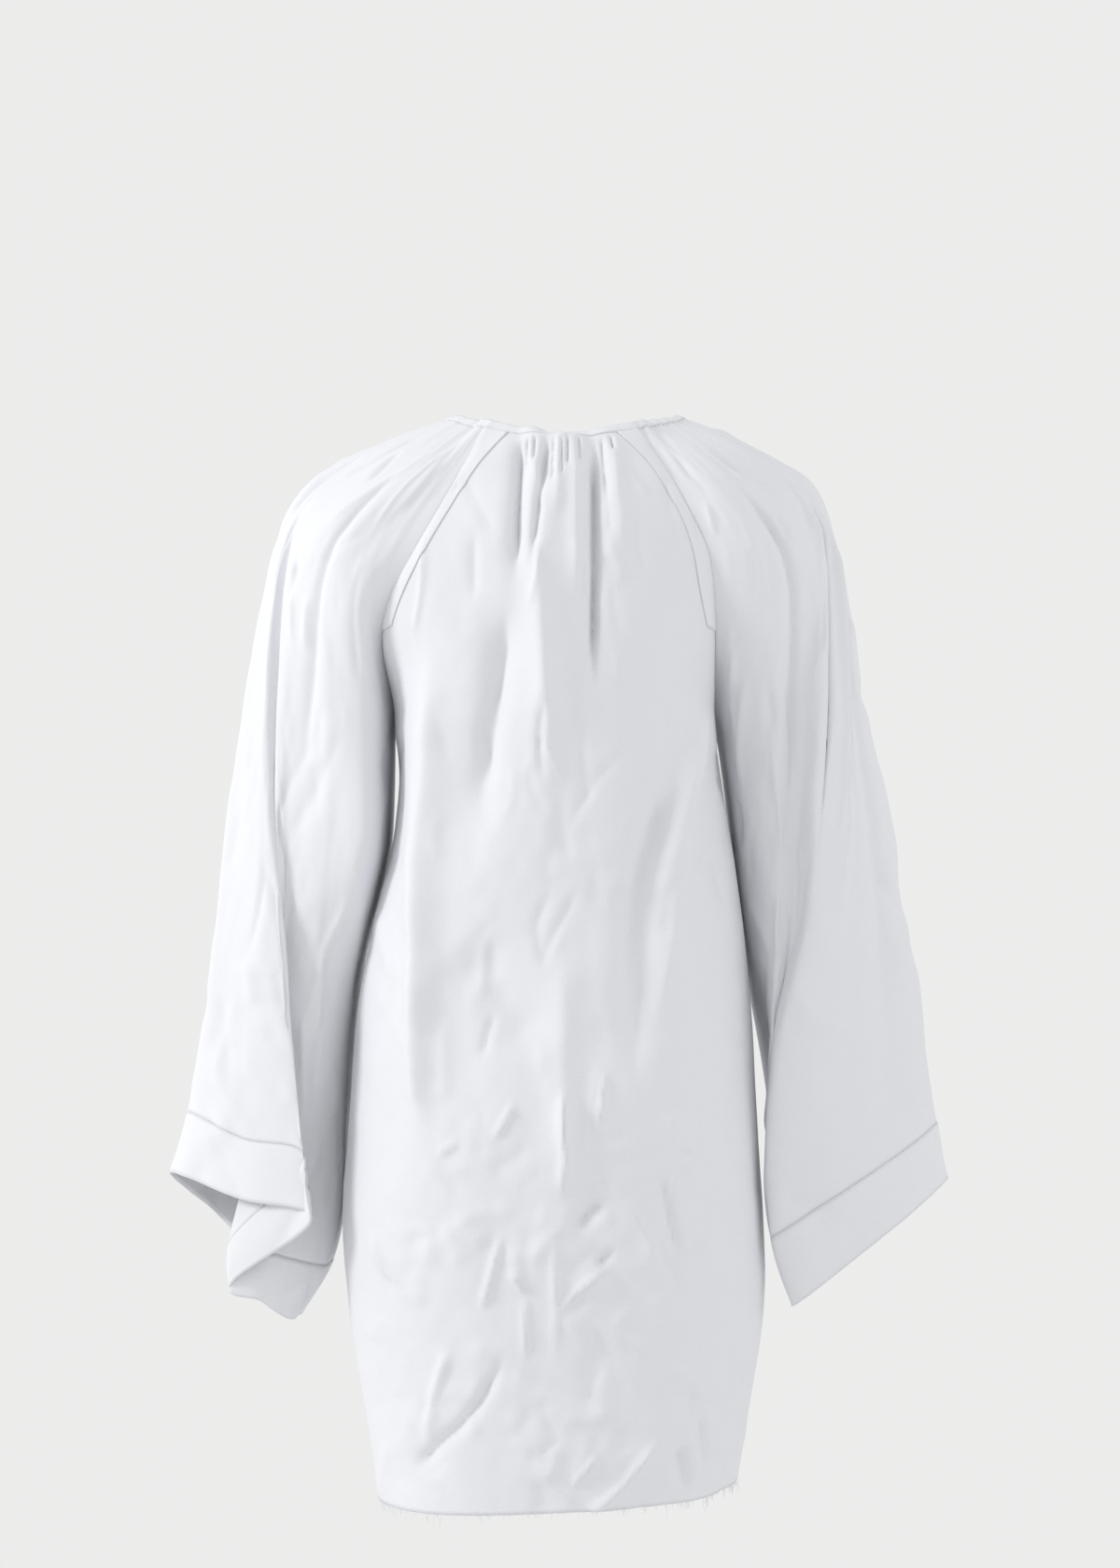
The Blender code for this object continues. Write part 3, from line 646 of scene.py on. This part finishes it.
@dataclass
class BodyForm:
    """One face of the body, from neck to hem.

    Attributes:
        side: Which face it is.
        rows: Steps from neck to hem.
        columns: Steps across.
        yoke: Share of the rows above the underarm.
        curve_steps: Points worked out along each row before it is spaced evenly.
        edge_fade: How soon the creases reach full height in from a seam.
        neck_blend: How soon the depth leaves the neck's own.
    """

    side: Side
    rows: int
    columns: int
    yoke: float = YOKE_ROWS
    curve_steps: int = 481
    edge_fade: float = 9.0
    neck_blend: float = 10.0

    def row(self, share: float, down: float) -> Array:
        """Give the curve across the body.

        Args:
            share: How far down the raglan seams it lies.
            down: How far below the underarm it lies.

        Returns:
            Its points, from right to left.
        """
        sections = np.array(BODY_SECTIONS)[::-1]
        neck = NECK_CENTRE[self.side]
        left = raglan(self.side, 1, share)[0]
        right = raglan(self.side, -1, share)[0]
        centre_z = neck[2] + (left[2] - neck[2]) * share
        if down > 0:
            left[2] += (HEM_LEFT - left[2]) * down
            right[2] += (HEM_RIGHT - right[2]) * down
            left[0] = smooth(sections[:, 0], sections[:, 1], left[2])[0, 0]
            right[0] = smooth(sections[:, 0], sections[:, 2], right[2])[0, 0]
            centre_z = (left[2] + right[2]) / 2
        column = 3 if self.side is Side.BACK else 4
        depth = self.side.value * smooth(sections[:, 0], sections[:, column], centre_z)[0, 0]
        depth = neck[1] + (depth - neck[1]) * ease(share * self.neck_blend)
        square = share**2
        turn = np.linspace(-1.0, 1.0, self.curve_steps)
        across = turn * (1 - square) + np.sin(turn * np.pi / 2) * square
        round_arch = (1 - np.abs(across) ** ROUND_ARCH[0]) ** (1 / ROUND_ARCH[1])
        arch = round_arch * square + (1 - np.abs(across) ** SHALLOW_ARCH) * (1 - square)
        ends = right + (left - right) * ((1 + across) / 2)[:, None]
        ends[:, 1] += (depth - ends[:, 1]) * arch
        ends[:, 2] += (centre_z - (left[2] + right[2]) / 2) * (1 - across**2)
        return ends

    def grid(self) -> Array:
        """Give the level form: even columns on every row."""
        rows = []
        for at in np.linspace(0.0, 1.0, self.rows + 1):
            share = min(at / self.yoke, 1.0)
            down = max(at - self.yoke, 0.0) / (1 - self.yoke)
            curve = self.row(share, down)
            along = arc(curve)
            wanted = np.linspace(0.0, along[-1], self.columns + 1)
            rows.append(np.stack([np.interp(wanted, along, curve[:, k]) for k in range(3)], axis=1))
        return np.array(rows)

    def lift(self, grid: Array) -> Array:
        """Give how far folds, creases and wrinkles lift each point.

        Args:
            grid: The level form.

        Returns:
            A height for each point.
        """
        back = self.side is Side.BACK
        relief = Relief(grid[..., 0], grid[..., 2])
        for fold in BACK_FOLDS if back else FRONT_FOLDS:
            height = fold.height * FOLD_SHARE
            relief.crease(Crease((fold.top, fold.bottom), fold.half_width, height))
        for crease in BACK_CREASES if back else FRONT_CREASES:
            relief.crease(crease)
        for patch in BACK_WRINKLES if back else FRONT_WRINKLES:
            relief.scatter(patch)
        for crumple in BACK_CRUMPLES if back else FRONT_CRUMPLES:
            relief.crumple(crumple)
        across = np.linspace(-1.0, 1.0, grid.shape[1])
        return relief.lift * ease((1 - np.abs(across)) * self.edge_fade)


@dataclass
class SleeveForm:
    """A sleeve, with its cuff, from neck to hem.

    Attributes:
        hand: 1 for the left sleeve, -1 for the right.
        sections: Its slanting sections.
        creases: Its listed creases, in metres round and share down.
        rows: Steps from neck to hem.
        columns: Steps round.
        stations: Share of the way round of each control point.
        seam_inset: How far the seam below the underarm lies in from the inner edge.
        seam_depth: How far forward that seam lies, as a share of the front's depth.
        seam_blend: How soon the seam leaves the raglan below the underarm.
        front_shares: Places of the front's two control points, with their shares of its depth.
        edge_fade: How far in from the seam the creases reach full height, in metres.
    """

    hand: int
    sections: Sequence[SleeveSection]
    creases: Sequence[Crease]
    rows: int
    columns: int
    stations: tuple[float, ...] = (0.0, 0.09, 0.21, 0.33, 0.41, 0.52, 0.64, 0.76, 0.88, 1.0)
    seam_inset: float = 0.008
    seam_depth: float = 0.65
    seam_blend: float = 3.0
    front_shares: tuple[Flat, ...] = ((0.33, 1.0), (0.70, 0.95))
    edge_fade: float = 0.03

    def shares(self) -> Array:
        """Give each row's share of the way from neck to hem."""
        return np.linspace(0.0, 1.0, self.rows + 1)

    def grid(self) -> Array:
        """Give the level form, columns from the back seam round."""
        rows = self.shares()
        knots = [section.at for section in self.sections]
        outer, fold, tuck, inner, bulge, front = (
            smooth(knots, [section[k] for section in self.sections], rows) for k in range(1, 7)
        )
        on_raglan = np.clip(rows / UNDERARM_AT, 0.0, 1.0)
        below = ease((rows / UNDERARM_AT - 1.0) * self.seam_blend)[:, None]
        out = np.array([0.0, 1.0, 0.0])
        seam = inner.copy()
        seam[:, 0] -= np.sign(inner[:, 0]) * self.seam_inset
        seam[:, 1] = -front[:, 0] * self.seam_depth
        back_end = raglan(Side.BACK, self.hand, on_raglan) * (1 - below) + seam * below
        front_end = raglan(Side.FRONT, self.hand, on_raglan) * (1 - below) + seam * below
        fronts = []
        for share, depth in self.front_shares:
            point = outer + (front_end - outer) * share
            point[:, 1] = np.minimum(point[:, 1], -front[:, 0] * depth)
            fronts.append(point)
        controls = [back_end, inner, (inner + tuck) / 2 + out * bulge, tuck, fold]
        controls += [(fold + outer) / 2 + out * bulge, outer, *fronts, front_end]
        around = np.linspace(0.0, 1.0, self.columns + 1)
        lines = [[control[row] for control in controls] for row in range(len(rows))]
        return np.array([smooth(self.stations, line, around) for line in lines])

    def lift(self, grid: Array) -> Array:
        """Give how far creases and wrinkles lift each point.

        Args:
            grid: The level form.

        Returns:
            A height for each point.
        """
        around = np.linspace(0.0, SLEEVE_ROUND, grid.shape[1])
        across, down = np.meshgrid(around, self.shares())
        relief = Relief(across, down * SLEEVE_LONG)
        for crease in self.creases:
            line = tuple((x, y * SLEEVE_LONG) for x, y in crease.line)
            relief.crease(Crease(line, crease.half_width, crease.height))
        for patch in SLEEVE_WRINKLES:
            relief.scatter(patch._replace(seed=patch.seed + self.hand))
        for crumple in SLEEVE_CRUMPLES:
            relief.crumple(crumple._replace(seed=crumple.seed + self.hand))
        edge = ease(np.minimum(around, SLEEVE_ROUND - around) / self.edge_fade)
        return relief.lift * edge


# ---------------------------------------------------------------- finishes


class Socket:
    """Wraps a shader socket so that shader maths is written as Python expressions."""

    def __init__(self, tree: "Shader", socket: Any) -> None:
        """Wrap a socket of a tree."""
        self.tree, self.socket = tree, socket

    def _math(self, operation: str, first: Any, second: Any) -> "Socket":
        """Add a Math node."""
        return self.tree.node("ShaderNodeMath", {"operation": operation}, {0: first, 1: second})

    def __add__(self, other: Any) -> "Socket":
        """Add."""
        return self._math("ADD", self, other)

    __radd__ = __add__

    def __mul__(self, other: Any) -> "Socket":
        """Multiply."""
        return self._math("MULTIPLY", self, other)

    __rmul__ = __mul__


class Shader:
    """A material's node tree, built from one method."""

    def __init__(self, name: str) -> None:
        """Start a material with its Principled BSDF."""
        self.material = bpy.data.materials.new(name)
        self.material.use_nodes = True
        self.tree = self.material.node_tree
        self.surface = self.tree.nodes["Principled BSDF"]

    def node(self, kind: str, settings: dict[str, Any], inputs: dict[Any, Any], out: Any = 0) -> Socket:
        """Add a node.

        Args:
            kind: The node's type.
            settings: Properties, set first.
            inputs: Values or links for its sockets.
            out: Which output to give back.

        Returns:
            The wrapped output.
        """
        node = self.tree.nodes.new(kind)
        for key, value in settings.items():
            setattr(node, key, value)
        for key, value in inputs.items():
            self.put(node.inputs[key], value)
        return Socket(self, node.outputs[out])

    def put(self, target: Any, value: Any) -> None:
        """Set a socket to a value, or link it.

        Args:
            target: The socket.
            value: A wrapped output, or a plain value.
        """
        if isinstance(value, Socket):
            self.tree.links.new(value.socket, target)
        else:
            target.default_value = value


@dataclass(frozen=True)
class ClothFinish:
    """A plain woven cloth with uneven threads.

    Attributes:
        name: The material's name.
        colour: Its colour.
        shade: The colour of its darker threads.
        bump: How far its threads stand out, in metres.
        bump_strength: How strongly they show.
        roughness: Its roughness.
        sheen: Its sheen.
        specular: Its specular level.
        thread_scales: Stretch of the noise along each way of the weave.
        thread_share: How much the threads change its colour.
        mottle_scale: Scale of its broad unevenness.
        mottle_share: How much that changes its colour.
    """

    name: str
    colour: Point
    shade: Point
    bump: float = 0.00025
    bump_strength: float = 0.6
    roughness: float = 0.88
    sheen: float = 0.15
    specular: float = 0.25
    thread_scales: tuple[Point, Point] = ((900.0, 60.0, 1.0), (60.0, 900.0, 1.0))
    thread_share: float = 0.35
    mottle_scale: float = 70.0
    mottle_share: float = 0.3

    def build(self) -> bpy.types.Material:
        """Build the material."""
        shader = Shader(self.name)
        cloth = shader.node("ShaderNodeAttribute", {"attribute_name": "cloth"}, {}, "Vector")
        warp, weft = (
            shader.node(
                "ShaderNodeTexNoise",
                {},
                {"Vector": self.stretched(shader, cloth, scale), "Scale": 1.0, "Detail": 2.0},
            )
            for scale in self.thread_scales
        )
        threads = warp + weft
        uneven = {"Vector": cloth, "Scale": self.mottle_scale, "Detail": 4.0}
        mottle = shader.node("ShaderNodeTexNoise", {}, uneven)
        amount = threads * self.thread_share + mottle * self.mottle_share
        shades = {0: amount, 6: (*self.colour, 1), 7: (*self.shade, 1)}
        colour = shader.node("ShaderNodeMix", {"data_type": "RGBA"}, shades, 2)
        relief = {"Height": threads, "Distance": self.bump, "Strength": self.bump_strength}
        shader.put(shader.surface.inputs["Base Color"], colour)
        shader.put(shader.surface.inputs["Normal"], shader.node("ShaderNodeBump", {}, relief))
        shader.surface.inputs["Roughness"].default_value = self.roughness
        shader.surface.inputs["Sheen Weight"].default_value = self.sheen
        shader.surface.inputs["Specular IOR Level"].default_value = self.specular
        return shader.material

    @staticmethod
    def stretched(shader: Shader, cloth: Socket, scale: Point) -> Socket:
        """Stretch the cloth's coordinates."""
        return shader.node("ShaderNodeVectorMath", {"operation": "MULTIPLY"}, {0: cloth, 1: scale})


CLOTH = ClothFinish("white_voile", (0.77, 0.78, 0.81), (0.73, 0.74, 0.77))
CUFF = ClothFinish("cuff_voile", (0.78, 0.79, 0.82), (0.74, 0.75, 0.78))
TRIM = ClothFinish("trim_voile", (0.78, 0.79, 0.82), (0.74, 0.75, 0.78))
THREAD = ClothFinish("loose_thread", (0.80, 0.81, 0.84), (0.74, 0.75, 0.78))
# The label's dark grey colour is painted shade: it stands in for the shadow line the plain label casts
# through the back.
LABEL_PAINTED_SHADE = ClothFinish("label_painted_shade", (0.42, 0.43, 0.47), (0.38, 0.39, 0.43))


@dataclass
class Piece:
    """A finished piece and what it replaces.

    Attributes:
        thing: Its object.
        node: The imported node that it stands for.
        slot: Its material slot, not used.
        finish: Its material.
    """

    thing: bpy.types.Object
    node: str
    slot: str
    finish: bpy.types.Material

    def declare(self) -> bpy.types.Object:
        """Dress the piece and tell the frame about it."""
        self.thing.data.materials.append(self.finish)
        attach(self.thing, BODY)
        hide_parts(self.node)
        log.info("%s: %d faces", self.thing.name, len(self.thing.data.polygons))
        return self.thing


# ---------------------------------------------------------------- the tunic


@dataclass
class Sheet:
    """A built sheet of cloth, with the form it was made on.

    Attributes:
        piece: Its object.
        cut: Its flat size.
        grid: Its creased points.
        normals: The unit normal at each point.
        parts: The separate pieces on it.
    """

    piece: bpy.types.Object
    cut: Cut
    grid: Array
    normals: Array
    parts: list[bpy.types.Object] = field(default_factory=list)


@dataclass
class HemThreads:
    """The loose threads below the raw hem.

    Attributes:
        count: How many there are.
        steps: Rings of points along each thread.
        sides: Points in each ring.
        least: Length of the shortest thread.
        shape: Shape of the spread of lengths.
        scale: Scale of that spread.
        longest: Length of the longest thread.
        drift: How far threads lean, as a share of their length.
        radii: Least and greatest radius.
        curls: Least and greatest turn of a thread's curl.
        root: How far above the hem a thread starts.
    """

    count: int = 420
    steps: int = 7
    sides: int = 4
    least: float = 0.0022
    shape: float = 1.3
    scale: float = 0.0022
    longest: float = 0.024
    drift: float = 0.35
    radii: Flat = (0.00010, 0.00022)
    curls: Flat = (2.0, 2.6)
    root: float = 0.0015

    def build(self, hem: Array) -> bpy.types.Object:
        """Build the threads as one mesh.

        Args:
            hem: Points all round the hem.

        Returns:
            Its object.
        """
        random = np.random.default_rng(71)
        points, faces = [], []
        for _ in range(self.count):
            root = hem[random.integers(len(hem))]
            length = self.least + random.gamma(self.shape, self.scale)
            length = min(length, self.longest)
            drift = random.normal(0.0, self.drift, 2) * length
            radius = random.uniform(*self.radii)
            first = len(points)
            for step in range(self.steps):
                s = step / (self.steps - 1)
                curl = math.sin(s * random.uniform(*self.curls)) * drift[0]
                middle = root + np.array([curl, drift[1] * s, self.root - length * s])
                for side in range(self.sides):
                    turn = 2 * math.pi * side / self.sides
                    ring = np.array([math.cos(turn), math.sin(turn), 0.0])
                    points.append(middle + radius * ring)
            faces += self.faces(first)
        mesh = bpy.data.meshes.new("hem_fray_threads")
        mesh.from_pydata([tuple(point) for point in points], [], faces)
        mesh.update()
        thing = bpy.data.objects.new("hem_fray_threads", mesh)
        bpy.context.scene.collection.objects.link(thing)
        return thing

    def faces(self, first: int) -> list[tuple[int, ...]]:
        """Give the faces of one thread, closed at both ends.

        Args:
            first: Number of its first point.

        Returns:
            The faces, as point numbers.
        """
        sides, made = self.sides, []
        for step in range(self.steps - 1):
            for side in range(sides):
                a = first + step * sides + side
                b = first + step * sides + (side + 1) % sides
                made.append((a, b, b + sides, a + sides))
        made.append(tuple(range(first + sides - 1, first - 1, -1)))
        last = first + (self.steps - 1) * sides
        made.append(tuple(range(last, last + sides)))
        return made


@dataclass
class Tunic:
    """The whole garment, built piece by piece on its packed forms.

    Attributes:
        body_rows: Steps from neck to hem on the body.
        body_columns: Steps across each face of the body.
        sleeve_rows: Steps from neck to hem on a sleeve.
        sleeve_columns: Steps round a sleeve.
        band_lift: How far a raglan band stands off its panel.
        band_least: Fewest steps across a band.
        binding_height: Height of the neck binding.
        binding_start: Where the binding starts, beside the neck's edge.
        binding_rows: Rows of points up the binding.
        binding_smoothing: Passes that even the binding out.
        label_size: Width and height of the label.
        label_at: Middle of the label's top edge.
        label_inside: How far inside the back the label hangs.
        label_steps: Points across and down the label.
        pieces: Every piece built.
    """

    body_rows: int = 230
    body_columns: int = 170
    sleeve_rows: int = 180
    sleeve_columns: int = 170
    band_lift: float = 0.0009
    band_least: int = 4
    binding_height: float = 0.0065
    binding_start: float = -0.001
    binding_rows: int = 5
    binding_smoothing: int = 10
    label_size: Flat = (0.051, 0.014)
    label_at: Point = (0.004, 0.0, -0.099)
    label_inside: float = 0.006
    label_steps: tuple[int, int] = (25, 6)
    pieces: list[Piece] = field(default_factory=list)

    def add(
        self,
        name: str,
        grid: Array,
        normals: Array,
        half: float,
        slot: str,
        finish: bpy.types.Material,
        wraps: bool = False,
    ) -> bpy.types.Object:
        """Build one shell in place of the node of the same name.

        Args:
            name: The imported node's name.
            grid: Rows and columns of points.
            normals: Unit normal of each point.
            half: Half the wall's thickness.
            slot: Its material slot.
            finish: Its material.
            wraps: Whether the last column joins the first.

        Returns:
            The piece's object.
        """
        thing = Shell(name + "_cloth", grid, normals, half, wraps).build()
        piece = Piece(thing, name, slot, finish)
        self.pieces.append(piece)
        return piece.declare()

    def build(self) -> None:
        cloth, cuff_cloth, trim = CLOTH.build(), CUFF.build(), TRIM.build()
        sheets = {
            "back": self.body(Side.BACK, "back", cloth, trim),
            "front": self.body(Side.FRONT, "front", cloth, trim),
            "left": self.sleeve(1, "left", cloth, cuff_cloth),
            "right": self.sleeve(-1, "right", cloth, cuff_cloth),
        }
        self.bind(sheets, trim)
        self.label(sheets["back"])
        self.fray(sheets["back"], sheets["front"])
        for sheet in sheets.values():
            sheet.cut.size()
            sheet.cut.area()

    def body(
        self, side: Side, name: str, cloth: bpy.types.Material, trim: bpy.types.Material
    ) -> Sheet:
        """Build one face of the body with its two raglan bands.

        Args:
            side: Which face it is.
            name: The face's name.
            cloth: The cloth's material.
            trim: The bands' material.

        Returns:
            The face's sheet.
        """
        form = BodyForm(side, self.body_rows, self.body_columns)
        level = form.grid()
        grid = level + normals_of(level, BODY_CENTRE) * form.lift(level)[..., None]
        normals = normals_of(grid, BODY_CENTRE)
        piece = self.add(f"{name}_panel", grid, normals, CLOTH_HALF, "cloth", cloth)
        sheet = Sheet(piece, Cut(level), grid, normals)
        last = int(form.yoke * form.rows * BAND_END)
        for hand, columns in (("right", np.s_[:]), ("left", np.s_[::-1])):
            strip, out = grid[:last, columns], normals[:last, columns]
            width = [np.searchsorted(arc(row), BAND_WIDTH) for row in strip]
            count = max(int(np.median(width)), self.band_least)
            part = np.array([self.spread(row, BAND_WIDTH, count) for row in strip])
            pairs = zip(strip, out)
            tilt = np.array([self.spread_as(row, n, BAND_WIDTH, count) for row, n in pairs])
            lifted = part + tilt * self.band_lift
            band = self.add(f"{hand}_{name}_band", lifted, tilt, CLOTH_HALF, "trim_cloth", trim)
            sheet.parts.append(band)
        return sheet

    def sleeve(
        self, hand: int, name: str, cloth: bpy.types.Material, cuff_cloth: bpy.types.Material
    ) -> Sheet:
        """Build one sleeve with its cuff.

        Args:
            hand: 1 for the left sleeve, -1 for the right.
            name: The sleeve's name.
            cloth: The cloth's material.
            cuff_cloth: The cuff's material.

        Returns:
            The sleeve's sheet.
        """
        sections = LEFT_SLEEVE if hand > 0 else RIGHT_SLEEVE
        creases = LEFT_CREASES if hand > 0 else RIGHT_CREASES
        form = SleeveForm(hand, sections, creases, self.sleeve_rows, self.sleeve_columns)
        level = form.grid()
        level_normals = normals_of(level, level.mean(axis=1, keepdims=True))
        grid = level + level_normals * form.lift(level)[..., None]
        normals = normals_of(grid, grid.mean(axis=1, keepdims=True))
        cut = int(CUFF_AT * form.rows)
        arm = self.add(
            f"{name}_sleeve", grid[: cut + 1], normals[: cut + 1], CLOTH_HALF, "cloth", cloth
        )
        cuff = self.add(
            f"{name}_cuff", grid[cut:], normals[cut:], CUFF_HALF, "cuff_cloth", cuff_cloth
        )
        return Sheet(arm, Cut(level), grid, normals, [cuff])

    @staticmethod
    def spread(row: Array, width: float, count: int) -> Array:
        """Give even points along the first part of a row."""
        wanted = np.linspace(0.0, width, count + 1)
        return np.stack([np.interp(wanted, arc(row), row[:, k]) for k in range(3)], axis=1)

    @staticmethod
    def spread_as(row: Array, values: Array, width: float, count: int) -> Array:
        """Read values that lie along a row at the same even points."""
        wanted = np.linspace(0.0, width, count + 1)
        return unit(np.stack([np.interp(wanted, arc(row), values[:, k]) for k in range(3)], axis=1))

    def bind(self, sheets: dict[str, Sheet], trim: bpy.types.Material) -> None:
        """Build the neck binding all round the neck's edge.

        Args:
            sheets: The four sheets by name.
            trim: The binding's material.
        """
        order = (
            ("back", np.s_[:-1]),
            ("left", np.s_[:-1]),
            ("front", np.s_[:0:-1]),
            ("right", np.s_[:0:-1]),
        )
        edge = np.concatenate([sheets[name].grid[0][part] for name, part in order])
        beside = np.concatenate([sheets[name].grid[3][part] for name, part in order])
        out = np.concatenate([sheets[name].normals[0][part] for name, part in order])
        away = unit(edge - beside)
        for _ in range(self.binding_smoothing):
            away = unit(np.roll(away, 1, axis=0) + away + np.roll(away, -1, axis=0))
            out = unit(np.roll(out, 1, axis=0) + out + np.roll(out, -1, axis=0))
            edge = (np.roll(edge, 1, axis=0) + edge * 2 + np.roll(edge, -1, axis=0)) / 4
        heights = np.linspace(self.binding_start, self.binding_height, self.binding_rows)
        rows = np.array([edge + away * height for height in heights])
        outward = np.array([out] * self.binding_rows)
        binding = self.add("neck_binding", rows, outward, BINDING_HALF, "trim_cloth", trim, True)
        sheets["back"].parts.append(binding)

    def label(self, back: Sheet) -> None:
        """Hang the bare label inside the back; its dark grey colour is painted shade for the shadow line
        it shows through the cloth.
        """
        count_across, count_down = self.label_steps
        width, height = self.label_size
        across = np.linspace(-0.5, 0.5, count_across) * width + self.label_at[0]
        middle = back.grid.shape[1] // 2
        points = []
        for z in self.label_at[2] - np.linspace(0.0, height, count_down):
            row = back.grid[np.abs(back.grid[:, middle, 2] - z).argmin()]
            y = np.interp(across, row[:, 0], row[:, 1]) - self.label_inside
            points.append(np.stack([across, y, np.full_like(across, z)], axis=1))
        grid = np.array(points)
        normals = np.zeros_like(grid)
        normals[..., 1] = 1.0
        piece = self.add("neck_label", grid, normals, CLOTH_HALF, "label_cloth", LABEL_PAINTED_SHADE.build())
        back.parts.append(piece)

    def fray(self, back: Sheet, front: Sheet) -> None:
        """Fray the raw hem all round.

        Args:
            back: The back, which carries the threads.
            front: The front.
        """
        hem = np.concatenate([back.grid[-1, :-1], front.grid[-1, :0:-1]])
        thing = HemThreads().build(hem)
        piece = Piece(thing, "hem_fray", "thread", THREAD.build())
        self.pieces.append(piece)
        back.parts.append(piece.declare())


# ---------------------------------------------------------------- the studio


class Lamp(NamedTuple):
    """A square area light that looks at the middle of the tunic."""

    name: str
    place: Point
    size: float
    power: float


LAMPS = (
    Lamp("key", (2.8, 0.9, 0.9), 0.8, 44.0),
    Lamp("side", (-2.2, 0.8, 0.4), 1.2, 6.0),
)


@dataclass
class Studio:
    """A pale floor, soft light and the camera.

    Attributes:
        floor_z: Height of the floor.
        floor_radius: Its radius.
        camera_at: Place of the camera, which looks level at the back.
        lens: Its focal length in millimetres.
        sensor: Its sensor's long side in millimetres.
        backdrop: Colour of the floor and of the light all round.
        light_colour: Colour of the lamps.
        aim: Where the lamps look.
        floor_roughness: Roughness of the floor.
    """

    floor_z: float = -1.40
    floor_radius: float = 2.2
    camera_at: Point = (0.002, 3.2, -0.2925)
    lens: float = 91.4
    sensor: float = 36.0
    backdrop: Point = (0.84, 0.84, 0.835)
    light_colour: Point = (0.97, 0.98, 1.0)
    aim: Point = (0.0, 0.0, -0.40)
    floor_roughness: float = 0.9

    def build(self) -> None:
        """Build the studio."""
        scene = bpy.context.scene
        scene.view_settings.view_transform = "Standard"
        bpy.ops.mesh.primitive_circle_add(
            vertices=96,
            radius=self.floor_radius,
            fill_type="NGON",
            location=(0.0, 0.0, self.floor_z),
        )
        floor = bpy.context.object
        floor.name = "studio_floor"
        shader = Shader("pale_floor")
        shader.surface.inputs["Base Color"].default_value = (*self.backdrop, 1.0)
        shader.surface.inputs["Roughness"].default_value = self.floor_roughness
        floor.data.materials.append(shader.material)
        world = bpy.data.worlds.new("studio")
        world.use_nodes = True
        world.node_tree.nodes["Background"].inputs["Color"].default_value = (*self.backdrop, 1.0)
        scene.world = world
        for lamp in LAMPS:
            self.light(lamp)
        data = bpy.data.cameras.new("camera")
        data.sensor_width = self.sensor
        data.sensor_fit = "AUTO"
        data.lens = self.lens
        camera = bpy.data.objects.new("camera", data)
        camera.location = self.camera_at
        camera.rotation_euler = (math.pi / 2, 0.0, math.pi)
        scene.collection.objects.link(camera)
        scene.camera = camera

    def light(self, lamp: Lamp) -> None:
        """Add a lamp.

        Args:
            lamp: Its name, place, size and power.
        """
        data = bpy.data.lights.new(lamp.name, "AREA")
        data.size, data.energy, data.color = lamp.size, lamp.power, self.light_colour
        thing = bpy.data.objects.new(lamp.name, data)
        thing.location = lamp.place
        aim = Vector(self.aim) - Vector(lamp.place)
        thing.rotation_euler = aim.to_track_quat("-Z", "Y").to_euler()
        bpy.context.scene.collection.objects.link(thing)


def main() -> None:
    """Build the tunic and its studio."""
    logging.basicConfig(level=logging.INFO)
    tunic = Tunic()
    tunic.build()
    Studio().build()
    log.info("%d pieces", len(tunic.pieces))


if __name__ == "__main__":
    main()
